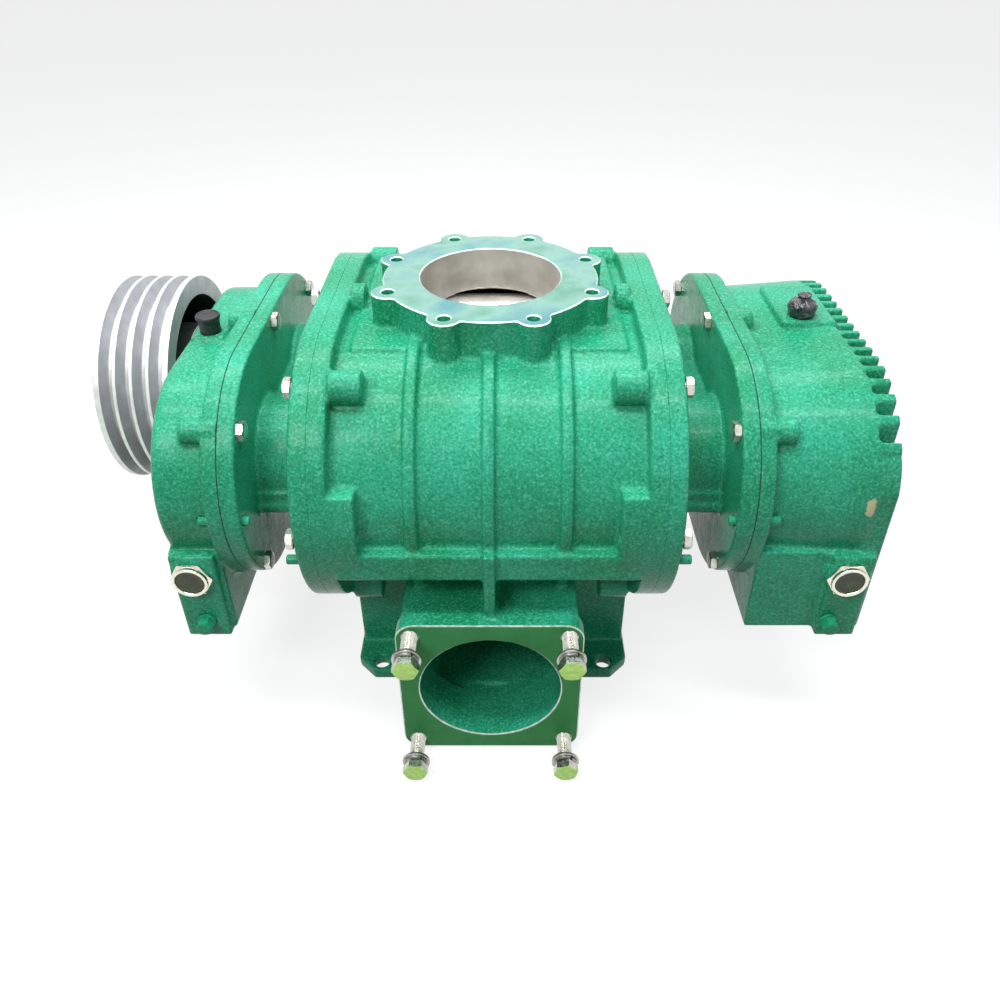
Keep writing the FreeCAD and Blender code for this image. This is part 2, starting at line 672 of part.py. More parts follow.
def end_plate(end):
    """An end plate with its two bearing necks and the ring flange for the cover."""
    name = end.name
    height = "shaft_height"
    centres = [(FRONT_Y, height), (REAR_Y, height)]
    neck = end.span("plate_outer - 1", "ring_inner + 1")
    web = (f"{height} - neck_web / 2", f"{height} + neck_web / 2")
    solids = [
        soft_oval(name + "_plate_rim", "rim_radius", end.span("half_casing", "plate_outer"), [end.outer]),
        soft_oval(name + "_ring", "ring_radius", end.span("ring_inner", "ring_outer"), [end.inner]),
        block(name + "_web", neck, (FRONT_Y, REAR_Y), web),
    ]
    shelf_z = (f"{height} - shelf_drop - shelf_thickness", f"{height} - shelf_drop")
    for side, centre in zip((-1, 1), centres):
        tag = side + 1
        solids.append(rod(f"{name}_neck_{tag}", "x", "neck_radius", neck, centre))
        y = outward(side, "pitch_radius", "pitch_radius + neck_radius + shelf_reach")
        solids.append(block(f"{name}_shelf_{tag}", neck, y, shelf_z))
        spot = (f"{side} * (pitch_radius + neck_radius)", f"{height} - oil_return_drop")
        solids.append(rod(f"{name}_oil_return_{tag}", "x", "oil_return_radius", neck, spot))
    body = join(name + "_plate_body", *solids)
    keep(f"{name}_end_plate", cut(f"{name}_end_plate", body, *end_plate_seats(end, centres), *end_plate_holes(end)))


def end_plate_seats(end, centres):
    """The stepped bores of an end plate, for labyrinth, oil seal and bearing, with the retainer's taps."""
    name = end.name
    bearing = f"{name}_bearing_start"
    through = end.span("half_casing - 1", "ring_outer + 1")
    labyrinth = end.span("half_casing - 1", "half_casing + labyrinth_length + 1")
    seal = end.span(f"{bearing} - oil_seal_width - 2", bearing)
    seat = end.span(bearing, "ring_outer + 1")
    tap = end.span("ring_outer - retainer_screw_reach - 2", "ring_outer + 1")
    tools = []
    for i, centre in enumerate(centres):
        tools.append(rod(f"{name}_passage_{i}", "x", "passage_bore / 2", through, centre))
        tools.append(rod(f"{name}_labyrinth_{i}", "x", "labyrinth_bore / 2", labyrinth, centre))
        tools.append(rod(f"{name}_seal_seat_{i}", "x", "oil_seal_outer / 2", seal, centre))
        tools.append(rod(f"{name}_bearing_seat_{i}", "x", "bearing_outer / 2", seat, centre))
        for j, spot in enumerate(retainer_screw_places(centre[0])):
            tools.append(rod(f"{name}_retainer_tap_{i}{j}", "x", "retainer_screw / 2 + thread_gap", tap, spot))
    return tools


def end_plate_holes(end):
    """The bolt and dowel holes in the rim and in the ring flange of an end plate."""
    name = end.name
    rim = end.span("half_casing - 1", "plate_outer + 1")
    ring = end.span("ring_inner - 1", "ring_outer + 1")
    tools = []
    for i, centre in enumerate(around("bolt_circle")):
        tools.append(rod(f"{name}_plate_hole_{i}", "x", "bolt_size / 2 + clearance_gap", rim, centre))
    for i, centre in enumerate(dowel_places()):
        tools.append(rod(f"{name}_dowel_hole_{i}", "x", "dowel_size / 2 + dowel_gap", rim, centre))
    for i, centre in enumerate(ring_places()):
        tools.append(rod(f"{name}_ring_hole_{i}", "x", "bolt_size / 2 + clearance_gap", ring, centre))
    for i, centre in enumerate(ring_dowel_places()):
        tools.append(rod(f"{name}_ring_dowel_hole_{i}", "x", "dowel_size / 2 + dowel_gap", ring, centre))
    return tools


def retainer_screw_places(y):
    """The three screws of the bearing retainer of the shaft at y."""
    places = []
    for j in range(3):
        angle = math.radians(90 + 120 * j)
        up = f"shaft_height + retainer_screw_circle * {math.sin(angle):.6f}"
        places.append((f"{y} + retainer_screw_circle * {math.cos(angle):.6f}", up))
    return places


def bolts(name, end, places, seat, length, inward):
    """Hexagon bolts along X. Inward bolts point to the middle, others away from it."""
    if inward:
        shank = end.span(f"{seat} - {length}", f"{seat} + 1")
        cap = end.span(seat, f"{seat} + bolt_head")
    else:
        shank = end.span(f"{seat} - 1", f"{seat} + {length}")
        cap = end.span(f"{seat} - bolt_head", seat)
    solids = []
    for i, centre in enumerate(places):
        solids.append(join(
            f"{name}_{i}",
            rod(f"{name}_shank_{i}", "x", "bolt_size / 2", shank, centre),
            hexagon(f"{name}_head_{i}", "x", "bolt_flats", cap, centre),
        ))
    keep(name, group(name, solids))


def gaskets(end):
    """The flat gasket between a ring flange and its cover."""
    name = f"{end.name}_cover_gasket"
    sheet_body = oval(name + "_sheet", "ring_radius", end.span("ring_outer", "cover_inner"))
    through = end.span("ring_outer - 1", "cover_inner + 1")
    tools = [oval(name + "_window", "cover_bore", through)]
    for i, centre in enumerate(ring_places()):
        tools.append(rod(f"{name}_hole_{i}", "x", "bolt_size / 2 + clearance_gap", through, centre))
    for i, centre in enumerate(ring_dowel_places()):
        tools.append(rod(f"{name}_dowel_hole_{i}", "x", "dowel_size / 2 + clearance_gap", through, centre))
    keep(name, cut(name, sheet_body, *tools))


def cover_parts(end, outer_end, plate_far):
    """What both covers share: the sump with its raised plate and sight boss, their holes, the bosses."""
    name = end.name
    sight = (end.at(f"{name}_sight_x"), "sight_height")
    sump_z = ("sump_floor", "sump_ledge")
    plate_y = ("-sump_plate_face", "-sump_reach + 20")
    plate_z = ("sump_floor - sump_plate_drop", "sump_ledge")
    outside = [
        block(f"{name}_sump", end.span("cover_ring_outer", outer_end), ("-sump_reach", "sump_reach"), sump_z),
        block(f"{name}_sump_plate", end.span(f"{name}_plate_start", plate_far), plate_y, plate_z),
        rod(f"{name}_sight_boss", "y", "sight_boss_radius", ("-sight_seat", "-sump_reach + 1"), sight),
    ]
    wall = ("-sight_seat - 1", "-sump_reach + cover_wall + 30")
    drain = (end.at(f"{name}_drain_x"), "drain_height")
    holes = [
        rod(f"{name}_sight_hole", "y", "sight_thread / 2 + thread_gap", wall, sight),
        rod(f"{name}_drain_hole", "y", "drain_thread / 2 + thread_gap", wall, drain),
    ]
    bosses = []
    tap = end.span("cover_inner - 1", "ring_bolt_end + 1")
    for i, centre in enumerate(ring_places()):
        boss = end.span("cover_inner", "top_boss_end" if centre[0] == "0" else "cover_boss_end")
        bosses.append(rod(f"{name}_cover_boss_{i}", "x", "cover_boss_radius", boss, centre))
        holes.append(rod(f"{name}_cover_tap_{i}", "x", "bolt_size / 2 + thread_gap", tap, centre))
    pin = end.span("cover_inner - 1", "ring_dowel_end + 1")
    for i, centre in enumerate(ring_dowel_places()):
        holes.append(rod(f"{name}_cover_dowel_hole_{i}", "x", "dowel_size / 2 + dowel_gap", pin, centre))
    return outside, holes, bosses


def cover_hollow(end, outer_end):
    """The inside of a cover: round the shafts, and down into the sump."""
    inner_end = f"{outer_end} - cover_wall"
    sump_y = ("-sump_reach + cover_wall", "sump_reach - cover_wall")
    sump_z = ("sump_floor + cover_wall", "sump_ledge - cover_wall")
    return [
        oval(f"{end.name}_cover_hollow", "cover_bore", end.span("cover_inner - 1", inner_end)),
        block(f"{end.name}_sump_hollow", end.span("cover_ring_outer + cover_wall", inner_end), sump_y, sump_z),
    ]


def drive_end_cover():
    """The oil case of the drive end, with its sump and the opening for the drive shaft."""
    end = DRIVE
    outer = "drive_cover_end"
    outside, holes, bosses = cover_parts(end, outer, f"{outer} - 2")
    case = soft_oval(
        "drive_cover_case", "drive_body_radius", end.span("cover_ring_outer - 1", outer), [end.outer],
        "-pitch_radius - drive_body_spread", "drive_body_round")
    boss_x = end.span("cap_place_x - cap_boss", "cap_place_x + cap_boss")
    boss_y = ("cap_place_y - cap_boss", "cap_place_y + cap_boss")
    body = join(
        "drive_cover_body",
        oval("drive_cover_ring", "ring_radius", end.span("cover_inner", "cover_ring_outer")),
        case,
        block("drive_filler_boss", boss_x, boss_y, ("drive_top - 5", "drive_top + filler_boss")),
        *outside,
    )
    shell = join("drive_cover_shell", cut("drive_cover_open", body, *cover_hollow(end, outer)), *bosses)
    opening = end.span(f"{outer} - cover_wall - 12", f"{outer} + 1")
    holes.append(rod("drive_shaft_hole", "x", "seal_opening / 2", opening, (REAR_Y, "shaft_height")))
    filler = ("drive_top - 20", "drive_top + filler_boss + 1")
    centre = (end.at("cap_place_x"), "cap_place_y")
    holes.append(rod("drive_filler_hole", "z", "cap_thread / 2 + thread_gap", filler, centre))
    tap = end.span(f"{outer} - seal_screw_reach - 1", f"{outer} + 1")
    for i, centre in enumerate(seal_screw_places()):
        holes.append(rod(f"seal_screw_tap_{i}", "x", "seal_screw / 2 + thread_gap", tap, centre))
    keep("drive_end_cover", cut("drive_end_cover", shell, *holes))


def seal_screw_places():
    """The four screws of the drive shaft seal housing."""
    places = []
    for i in range(4):
        angle = math.radians(45 + 90 * i)
        up = f"shaft_height + seal_screw_circle * {math.sin(angle):.6f}"
        places.append((f"pitch_radius + seal_screw_circle * {math.cos(angle):.6f}", up))
    return places


def cooling_fins():
    """The upright fins on the end wall of the gear cover, within its outline."""
    span = ("gear_cover_end - 1", "fin_tip")
    z = ("sump_floor", "gear_top")
    slabs = []
    for i in range(int(number("fin_count"))):
        y = f"({i} - (fin_count - 1) / 2) * fin_spacing"
        slabs.append(block(f"fin_{i}", span, (f"{y} - fin_thickness / 2", f"{y} + fin_thickness / 2"), z))
    for side in (-1, 1):
        y = outward(side, "sump_reach - fin_side_wall", "sump_reach")
        slabs.append(block(f"side_wall_{side + 1}", span, y, z))
    outline = join(
        "fin_outline",
        oval("fin_oval", "gear_head_radius", span),
        block("fin_sump", span, ("-sump_reach", "sump_reach"), ("sump_floor", "shaft_height")),
    )
    return meet("fins", outline, join("fin_slabs", *slabs))


def gear_cover():
    """The timing gear case: it widens toward its end wall, which carries cooling fins."""
    end = GEAR
    outer = "gear_cover_end"
    outside, holes, bosses = cover_parts(end, outer, "fin_tip - gear_plate_inset")
    pad_y = ("-breather_pad_front", "pitch_radius")
    body = join(
        "gear_cover_body",
        oval("gear_cover_ring", "ring_radius", end.span("cover_inner", "cover_ring_outer")),
        flared_oval("gear_cover_case", ("gear_body_radius", "gear_head_radius"), ("cover_ring_outer - 1", outer)),
        block("breather_pad", ("breather_pad_start", outer), pad_y, ("gear_top - 12", "gear_top + filler_boss")),
        cooling_fins(),
        *outside,
    )
    shell = join("gear_cover_shell", cut("gear_cover_open", body, *cover_hollow(end, outer)), *bosses)
    breather = ("gear_top - 20", "gear_top + filler_boss + 1")
    centre = ("breather_place_x", "breather_place_y")
    holes.append(rod("breather_hole", "z", "cap_thread / 2 + thread_gap", breather, centre))
    keep("gear_cover", cut("gear_cover", shell, *holes))


def bearings():
    """Outer races, retainers with their screws, and oil seals, held by the end plates."""
    screws = []
    for end in (DRIVE, GEAR):
        name = end.name
        start = f"{name}_bearing_start"
        races = []
        retainers = []
        seals = []
        for i, y in enumerate((FRONT_Y, REAR_Y)):
            tag = f"{name}_{i}"
            centre = (y, "shaft_height")
            race = ("bearing_outer / 2 - race_wall", "bearing_outer / 2")
            races.append(ring_piece(f"race_{tag}", race, end.span(start, "ring_outer"), centre))
            disc = ring_piece(
                f"retainer_disc_{tag}", ("retainer_bore / 2", "retainer_radius"),
                end.span("ring_outer", "retainer_outer"), centre)
            holes = []
            for j, spot in enumerate(retainer_screw_places(y)):
                hole = end.span("ring_outer - 1", "retainer_outer + 1")
                holes.append(rod(f"retainer_hole_{tag}{j}", "x", "retainer_screw / 2 + clearance_gap", hole, spot))
                shank = end.span("ring_outer - retainer_screw_reach", "retainer_outer + 1")
                head = end.span("retainer_outer", "retainer_outer + retainer_screw_head")
                screws.append(join(
                    f"retainer_screw_{tag}{j}",
                    rod(f"retainer_shank_{tag}{j}", "x", "retainer_screw / 2", shank, spot),
                    rod(f"retainer_head_{tag}{j}", "x", "retainer_screw * 5 / 6", head, spot),
                ))
            retainers.append(cut(f"retainer_{tag}", disc, *holes))
            seal = ("shaft_waist / 2 + seal_gap", "oil_seal_outer / 2")
            seat = end.span(f"{start} - oil_seal_width - 2", f"{start} - 2")
            seals.append(ring_piece(f"oil_seal_{tag}", seal, seat, centre))
        keep(f"{name}_bearing_outer_races", group(f"{name}_bearing_outer_races", races))
        keep(f"{name}_bearing_retainers", group(f"{name}_bearing_retainers", retainers))
        keep(f"{name}_oil_seals", group(f"{name}_oil_seals", seals))
    keep("retainer_screws", group("retainer_screws", screws))


def lobe_outline():
    """The edges of a three-lobe rotor about the origin of the YZ plane, first lobe along +Y."""
    pitch = number("pitch_radius")
    lobe = number("lobe_radius")
    gap = number("flank_gap")
    base = 6 * lobe / math.pi
    tangent = math.sqrt(pitch * pitch - base * base)
    first = -math.atan2(tangent, base)

    def polar(radius, angle):
        """A point at a radius and an angle."""
        return Vector(0, radius * math.cos(angle), radius * math.sin(angle))

    def flank(step):
        """A point of the involute flank, from the tip (0) to the root (1)."""
        angle = first + step * math.pi / 3
        reach = tangent + lobe - base * step * math.pi / 3 - gap
        return polar(base, angle) + Vector(0, -math.sin(angle), math.cos(angle)) * reach

    def mirrored(point, angle):
        """A point mirrored in the line from the centre at an angle."""
        y = point.y * math.cos(2 * angle) + point.z * math.sin(2 * angle)
        z = point.y * math.sin(2 * angle) - point.z * math.cos(2 * angle)
        return Vector(0, y, z)

    def turned(point, angle):
        """A point turned about the centre by an angle."""
        y = point.y * math.cos(angle) - point.z * math.sin(angle)
        z = point.y * math.sin(angle) + point.z * math.cos(angle)
        return Vector(0, y, z)

    half = [flank(i / 6) for i in range(7)]
    edges = []
    for k in range(3):
        angle = k * 2 * math.pi / 3
        side = [turned(point, angle) for point in half]
        tip = polar(pitch + lobe - gap, angle)
        start = turned(mirrored(half[0], 0), angle)
        edges.append(Part.Arc(start, tip, side[0]).toShape())
        curve = Part.BSplineCurve()
        curve.interpolate(side)
        edges.append(curve.toShape())
        root = polar(pitch - lobe - gap, angle + math.pi / 3)
        far_side = [mirrored(point, angle + math.pi / 3) for point in side]
        edges.append(Part.Arc(side[-1], root, far_side[-1]).toShape())
        back = Part.BSplineCurve()
        back.interpolate(far_side[::-1])
        edges.append(back.toShape())
    return edges


def profile_solid(edges, span, bore, y, turn):
    """A bored solid whose YZ outline is the edges, turned and set at a shaft."""
    low, high = span
    face = Part.Face(Part.Wire(Part.__sortEdges__(edges)))
    solid = face.extrude(Vector(high - low, 0, 0))
    solid = solid.cut(Part.makeCylinder(bore, high - low + 2, Vector(-1, 0, 0), Vector(1, 0, 0)))
    solid.rotate(Vector(), Vector(1, 0, 0), turn)
    solid.translate(Vector(low, y, number("shaft_height")))
    return solid


def rotor(name, y, phase):
    """A rotor lobe block on its shaft."""
    half = number("rotor_half")
    piece = doc.addObject("Part::Feature", name)
    piece.Shape = profile_solid(lobe_outline(), (-half, half), number("shaft_waist") / 2, y, phase)
    keep(name, piece)


def gear_outline():
    """The edges of a timing gear about the origin of the YZ plane, with a tooth along +Y."""
    teeth = int(number("gear_teeth"))
    pitch = number("pitch_radius")
    module = 2 * pitch / teeth
    base = pitch * math.cos(math.radians(20))
    tip = pitch + module
    root = pitch - 1.25 * module
    slack = number("gear_backlash") / pitch / 2
    half_tooth = math.pi / (2 * teeth) - slack + math.tan(math.radians(20)) - math.radians(20)

    def point(radius, angle):
        """A point at a radius and an angle."""
        return Vector(0, radius * math.cos(angle), radius * math.sin(angle))

    def flank_angle(radius):
        """Half the tooth's angle at a radius."""
        pressure = math.acos(min(1, base / radius))
        return half_tooth - (math.tan(pressure) - pressure)

    edges = []
    step = 2 * math.pi / teeth
    low = max(base, root)
    for k in range(teeth):
        centre = k * step
        up = [point(radius, centre - flank_angle(radius)) for radius in (low, (low + tip) / 2, tip)]
        down = [point(radius, centre + flank_angle(radius)) for radius in (tip, (low + tip) / 2, low)]
        foot_left = point(root, centre - flank_angle(low))
        foot_right = point(root, centre + flank_angle(low))
        next_foot = point(root, centre + step - flank_angle(low))
        if root < low:
            edges.append(Part.LineSegment(foot_left, up[0]).toShape())
        edges.append(Part.Arc(*up).toShape())
        edges.append(Part.LineSegment(up[-1], down[0]).toShape())
        edges.append(Part.Arc(*down).toShape())
        if root < low:
            edges.append(Part.LineSegment(down[-1], foot_right).toShape())
        edges.append(Part.LineSegment(foot_right, next_foot).toShape())
    return edges


def timing_gear(name, y, turn):
    """A timing gear with a web recessed on both sides."""
    start = number("gear_start")
    end = number("gear_end")
    recess = number("gear_web_recess")
    pitch = number("pitch_radius")
    root = pitch - 2.5 * pitch / number("gear_teeth")
    solid = profile_solid(gear_outline(), (start, end), number("shaft_seat") / 2, y, turn)
    rim = root - number("gear_rim_wall")
    for place_x in (start, end - recess):
        base = Vector(place_x, y, number("shaft_height"))
        ring = Part.makeCylinder(rim, recess, base, Vector(1, 0, 0))
        ring = ring.cut(Part.makeCylinder(number("gear_hub_radius"), recess, base, Vector(1, 0, 0)))
        solid = solid.cut(ring)
    piece = doc.addObject("Part::Feature", name)
    piece.Shape = solid
    keep(name, piece)


def ring_piece(name, radii, span, centre):
    """A plain ring along X, from its inner and outer radius."""
    inner, outer = radii
    over = (f"{span[0]} - 1", f"{span[1]} + 1")
    return cut(name, rod(name + "_disc", "x", outer, span, centre), rod(name + "_hole", "x", inner, over, centre))


def shaft_train(name, y):
    """What turns with one shaft: inner races, rollers, labyrinths, nuts and spacer."""
    centre = (y, "shaft_height")
    races = []
    rollers = []
    labyrinths = []
    seat = "shaft_seat / 2"
    race_out = "shaft_seat / 2 + inner_race_wall"
    orbit = f"(bearing_outer / 2 - race_wall + {race_out}) / 2"
    for end in (DRIVE, GEAR):
        tag = f"{name}_{end.name}"
        start = f"{end.name}_bearing_start"
        races.append(ring_piece(f"{tag}_inner_race", (seat, race_out), end.span(start, "ring_outer"), centre))
        row = end.span(f"{start} + 5", "ring_outer - 5")
        for k in range(int(number("roller_count"))):
            angle = 2 * math.pi * k / number("roller_count")
            up = f"shaft_height + {orbit} * {math.sin(angle):.6f}"
            spot = (f"{y} + {orbit} * {math.cos(angle):.6f}", up)
            rollers.append(rod(f"{tag}_roller_{k}", "x", "roller_radius", row, spot))
        ring = ("shaft_waist / 2", "labyrinth_bore / 2 - seal_gap")
        span = end.span("half_casing + 0.5", "half_casing + labyrinth_length")
        labyrinths.append(ring_piece(f"{tag}_labyrinth", ring, span, centre))
    nut = (seat, "locknut_radius")
    nuts = [
        ring_piece(f"{name}_drive_nut", nut, DRIVE.span("ring_outer", "ring_outer + locknut_width"), centre),
        ring_piece(f"{name}_gear_nut", nut, GEAR.span("gear_end", "gear_end + locknut_width"), centre),
    ]
    spacer = ring_piece(f"{name}_gear_spacer", nut, GEAR.span("ring_outer", "gear_start"), centre)
    keep(f"{name}_bearing_inner_races", group(f"{name}_bearing_inner_races", races))
    keep(f"{name}_bearing_rollers", group(f"{name}_bearing_rollers", rollers))
    keep(f"{name}_labyrinth_rings", group(f"{name}_labyrinth_rings", labyrinths))
    keep(f"{name}_locknuts", group(f"{name}_locknuts", nuts))
    keep(f"{name}_gear_spacer", spacer)


def shafts():
    """The two stepped shafts. The drive shaft carries on through its cover to the pulley."""
    for name, y in (("driven_shaft", FRONT_Y), ("drive_shaft", REAR_Y)):
        centre = (y, "shaft_height")
        waist = ("-drive_bearing_start", "gear_bearing_start")
        seat = ("-(ring_outer + 44)", "gear_end + locknut_width + 6")
        steps = [
            rod(name + "_waist", "x", "shaft_waist / 2", waist, centre),
            rod(name + "_seat", "x", "shaft_seat / 2", seat, centre),
        ]
        if name == "driven_shaft":
            keep(name, join(name, *steps))
            continue
        steps.append(rod("drive_sleeve_seat", "x", "sleeve_bore", ("-pulley_start + 4", "-ring_outer"), centre))
        steps.append(rod("drive_nose", "x", "shaft_nose / 2", ("-pulley_end - shaft_proud", "-ring_outer"), centre))
        across = ("pitch_radius - key_width / 2", "pitch_radius + key_width / 2")
        up = ("shaft_height + shaft_nose / 2 - key_depth / 2 - 1", "shaft_height + shaft_nose")
        keyway = block("pulley_keyway", ("-pulley_end + key_margin", "-pulley_start - key_margin"), across, up)
        keep(name, cut(name, join(name + "_steps", *steps), keyway))


def seal_set():
    """The sleeve, lip seals and housing where the drive shaft leaves its cover."""
    end = DRIVE
    centre = (REAR_Y, "shaft_height")
    outer = "drive_cover_end"
    sleeve = end.span(f"{outer} - sleeve_inside", "pulley_start - 6")
    keep("seal_sleeve", ring_piece("seal_sleeve", ("sleeve_bore", "sleeve_outer"), sleeve, centre))
    spigot = "seal_opening / 2 - seal_spigot_gap"
    housing = join(
        "seal_housing_body",
        rod("seal_housing_plate", "x", "seal_housing_radius", end.span(outer, "seal_plate_outer"), centre),
        rod("seal_housing_nose_rod", "x", "seal_housing_nose", end.span(outer, "seal_housing_end"), centre),
        rod("seal_housing_spigot", "x", spigot, end.span(f"{outer} - cover_wall", outer), centre),
    )
    through = end.span(f"{outer} - cover_wall - 1", "seal_housing_end + 1")
    seat = end.span("seal_housing_end - lip_seal_depth", "seal_housing_end + 1")
    tools = [
        rod("seal_housing_bore", "x", "sleeve_outer + 1", through, centre),
        rod("seal_housing_seat", "x", "sleeve_outer + lip_seal_wall", seat, centre),
    ]
    hole = end.span(f"{outer} - 1", "seal_plate_outer + 1")
    shank = end.span(f"{outer} - seal_screw_reach", "seal_plate_outer + 1")
    head = end.span("seal_plate_outer", "seal_plate_outer + seal_screw_head")
    screws = []
    for i, spot in enumerate(seal_screw_places()):
        tools.append(rod(f"seal_housing_hole_{i}", "x", "seal_screw / 2 + clearance_gap", hole, spot))
        screws.append(join(
            f"seal_screw_{i}",
            rod(f"seal_screw_shank_{i}", "x", "seal_screw / 2", shank, spot),
            rod(f"seal_screw_head_{i}", "x", "seal_screw_head_radius", head, spot),
        ))
    keep("shaft_seal_housing", cut("shaft_seal_housing", housing, *tools))
    keep("seal_housing_screws", group("seal_housing_screws", screws))
    seals = []
    ring = ("sleeve_outer + seal_gap", "sleeve_outer + lip_seal_wall")
    for i in range(2):
        near = f"seal_housing_end - lip_seal_depth + {i} * lip_seal_step"
        seals.append(ring_piece(f"shaft_lip_seal_{i}", ring, end.span(near, f"{near} + lip_seal_width"), centre))
    keep("shaft_lip_seals", group("shaft_lip_seals", seals))


def pulley_outline():
    """Half the pulley's section, as places along its width from the pump side and radii."""
    width = number("pulley_width")
    radius = number("pulley_radius")
    pitch = number("groove_pitch")
    count = int(number("groove_count"))
    half_top = number("groove_top") / 2
    half_floor = number("groove_bottom") / 2
    floor = radius - number("groove_depth")
    rim_inside = floor - number("pulley_rim_wall")
    hub = number("pulley_hub_radius")
    web = width - number("pulley_web")
    bush = number("bush_radius")
    bush_narrow = bush - number("bush_taper")
    outline = [(0, bush_narrow), (0, hub), (web, hub), (web, rim_inside), (0, rim_inside), (0, radius)]
    first = (width - (count - 1) * pitch) / 2
    for k in range(count):
        middle = first + k * pitch
        outline.append((middle - half_top, radius))
        outline.append((middle - half_floor, floor))
        outline.append((middle + half_floor, floor))
        outline.append((middle + half_top, radius))
    return outline + [(width, radius), (width, bush), (0, bush_narrow)]


def pulley():
    """The grooved belt pulley, turned about the drive shaft, with its split taper bush and key."""
    start = number("pulley_start")
    points = [Vector(-start - x, 0, r) for x, r in pulley_outline()]
    solid = Part.Face(Part.makePolygon(points)).revolve(Vector(), Vector(1, 0, 0), 360)
    solid.translate(Vector(0, number("pitch_radius"), number("shaft_height")))
    piece = doc.addObject("Part::Feature", "belt_pulley")
    piece.Shape = solid
    keep("belt_pulley", piece)

    height = "shaft_height"
    centre = (REAR_Y, height)
    long = ("-pulley_end - 1", "-pulley_start + 1")
    cone = taper(
        "bush_cone", "x", ("bush_radius", "bush_radius - bush_taper"), ("-pulley_end", "-pulley_start"), centre)
    bore = rod("bush_bore", "x", "shaft_nose / 2", long, centre)
    slot = ("pitch_radius - key_width / 2", "pitch_radius + key_width / 2")
    key_z = (f"{height} + shaft_nose / 2 - key_depth / 2 - 1", f"{height} + shaft_nose / 2 + key_depth / 2 - 1")
    keyway = block("bush_keyway", long, slot, (height, key_z[1]))
    split_z = (f"{height} - bush_radius - 1", height)
    split = block("bush_split", long, ("pitch_radius - 1", "pitch_radius + 1"), split_z)
    keep("taper_bush", cut("taper_bush", cone, bore, keyway, split))
    key_x = ("-pulley_end + key_margin", "-pulley_start - key_margin")
    keep("pulley_key", block("pulley_key", key_x, slot, key_z))


def slinger():
    """The disc on the driven shaft that throws oil over the drive end bearings."""
    start = "ring_outer + locknut_width + slinger_clear"
    span = DRIVE.span(start, f"{start} + slinger_thickness")
    centre = (FRONT_Y, "shaft_height")
    keep("oil_slinger", ring_piece("oil_slinger", ("shaft_seat / 2", "slinger_radius"), span, centre))


def outlet_washer(name, thickness, radius, start, centre):
    """A washer on an outlet bolt, behind the bolt's head."""
    span = (start, f"{start} + {thickness}")
    over = (f"{start} - 1", f"{start} + {thickness} + 1")
    disc = rod(name + "_disc", "y", radius, span, centre)
    return cut(name, disc, rod(name + "_hole", "y", "outlet_bolt_size / 2 + thread_gap", over, centre))


def outlet_fasteners():
    """The four outlet bolts, part screwed in, each with a spring washer and a flat washer."""
    bolts_out = []
    springs = []
    flats = []
    head = "-outlet_face - outlet_bolt_proud"
    behind = f"{head} + spring_washer + thread_gap"
    for i, centre in enumerate(outlet_bolt_places()):
        shank = (f"{head} - 1", f"{head} + outlet_bolt_length")
        bolts_out.append(join(
            f"outlet_bolt_{i}",
            rod(f"outlet_shank_{i}", "y", "outlet_bolt_size / 2", shank, centre),
            hexagon(f"outlet_head_{i}", "y", "outlet_bolt_flats", (f"{head} - outlet_bolt_head", head), centre),
        ))
        springs.append(outlet_washer(f"outlet_spring_{i}", "spring_washer", "spring_washer_radius", head, centre))
        flats.append(outlet_washer(f"outlet_flat_{i}", "flat_washer", "flat_washer_radius", behind, centre))
    keep("outlet_bolts", group("outlet_bolts", bolts_out))
    keep("outlet_spring_washers", group("outlet_spring_washers", springs))
    keep("outlet_flat_washers", group("outlet_flat_washers", flats))


def dowel_places():
    """The dowels of the end plates, low on each round end."""
    y = "(pitch_radius + bolt_circle * cos(dowel_angle))"
    z = "shaft_height - bolt_circle * sin(dowel_angle)"
    return [(f"-{y}", z), (y, z)]


def dowels():
    """The pins that line up casing and end plates, and those that line up end plates and covers."""
    plate_pins = []
    ring_pins = []
    for end in (DRIVE, GEAR):
        span = end.span("plate_outer + dowel_proud - dowel_length", "plate_outer + dowel_proud")
        for i, centre in enumerate(dowel_places()):
            plate_pins.append(rod(f"{end.name}_dowel_{i}", "x", "dowel_size / 2", span, centre))
        span = end.span("ring_dowel_start", "ring_dowel_end")
        for i, centre in enumerate(ring_dowel_places()):
            ring_pins.append(rod(f"{end.name}_ring_dowel_{i}", "x", "dowel_size / 2", span, centre))
    keep("plate_dowels", group("plate_dowels", plate_pins))
    keep("ring_dowels", group("ring_dowels", ring_pins))


def sight_glass(end):
    """An oil sight glass: hexagon body, thread and lens."""
    name = f"{end.name}_sight_glass"
    centre = (end.at(f"{end.name}_sight_x"), "sight_height")
    seat = "-sight_seat"
    front = f"{seat} - sight_hex - sight_nose"
    inner = f"{seat} + screwed_length"
    body = join(
        name + "_solid",
        hexagon(name + "_hex", "y", "sight_flats", (f"{seat} - sight_hex", seat), centre),
        rod(name + "_nose", "y", "sight_nose_radius", (front, seat), centre),
        rod(name + "_thread", "y", "sight_thread / 2", (seat, inner), centre),
    )
    window = rod(name + "_window", "y", "sight_glass / 2", (f"{front} - 1", f"{inner} + 1"), centre)
    keep(name + "_body", cut(name + "_body", body, window))
    lens = f"{front} + sight_lens_depth"
    keep(name + "_lens", rod(name + "_lens", "y", "sight_glass / 2", (lens, f"{lens} + sight_lens"), centre))


def drain_plug(end):
    """A drain plug with its collar."""
    name = f"{end.name}_drain_plug"
    centre = (end.at(f"{end.name}_drain_x"), "drain_height")
    face = "-sump_plate_face"
    keep(name, join(
        name,
        rod(name + "_thread", "y", "drain_thread / 2", (face, f"{face} + screwed_length"), centre),
        rod(name + "_collar", "y", "drain_collar_radius", (f"{face} - drain_collar", face), centre),
        hexagon(name + "_head", "y", "drain_flats", (f"{face} - drain_head", face), centre),
    ))


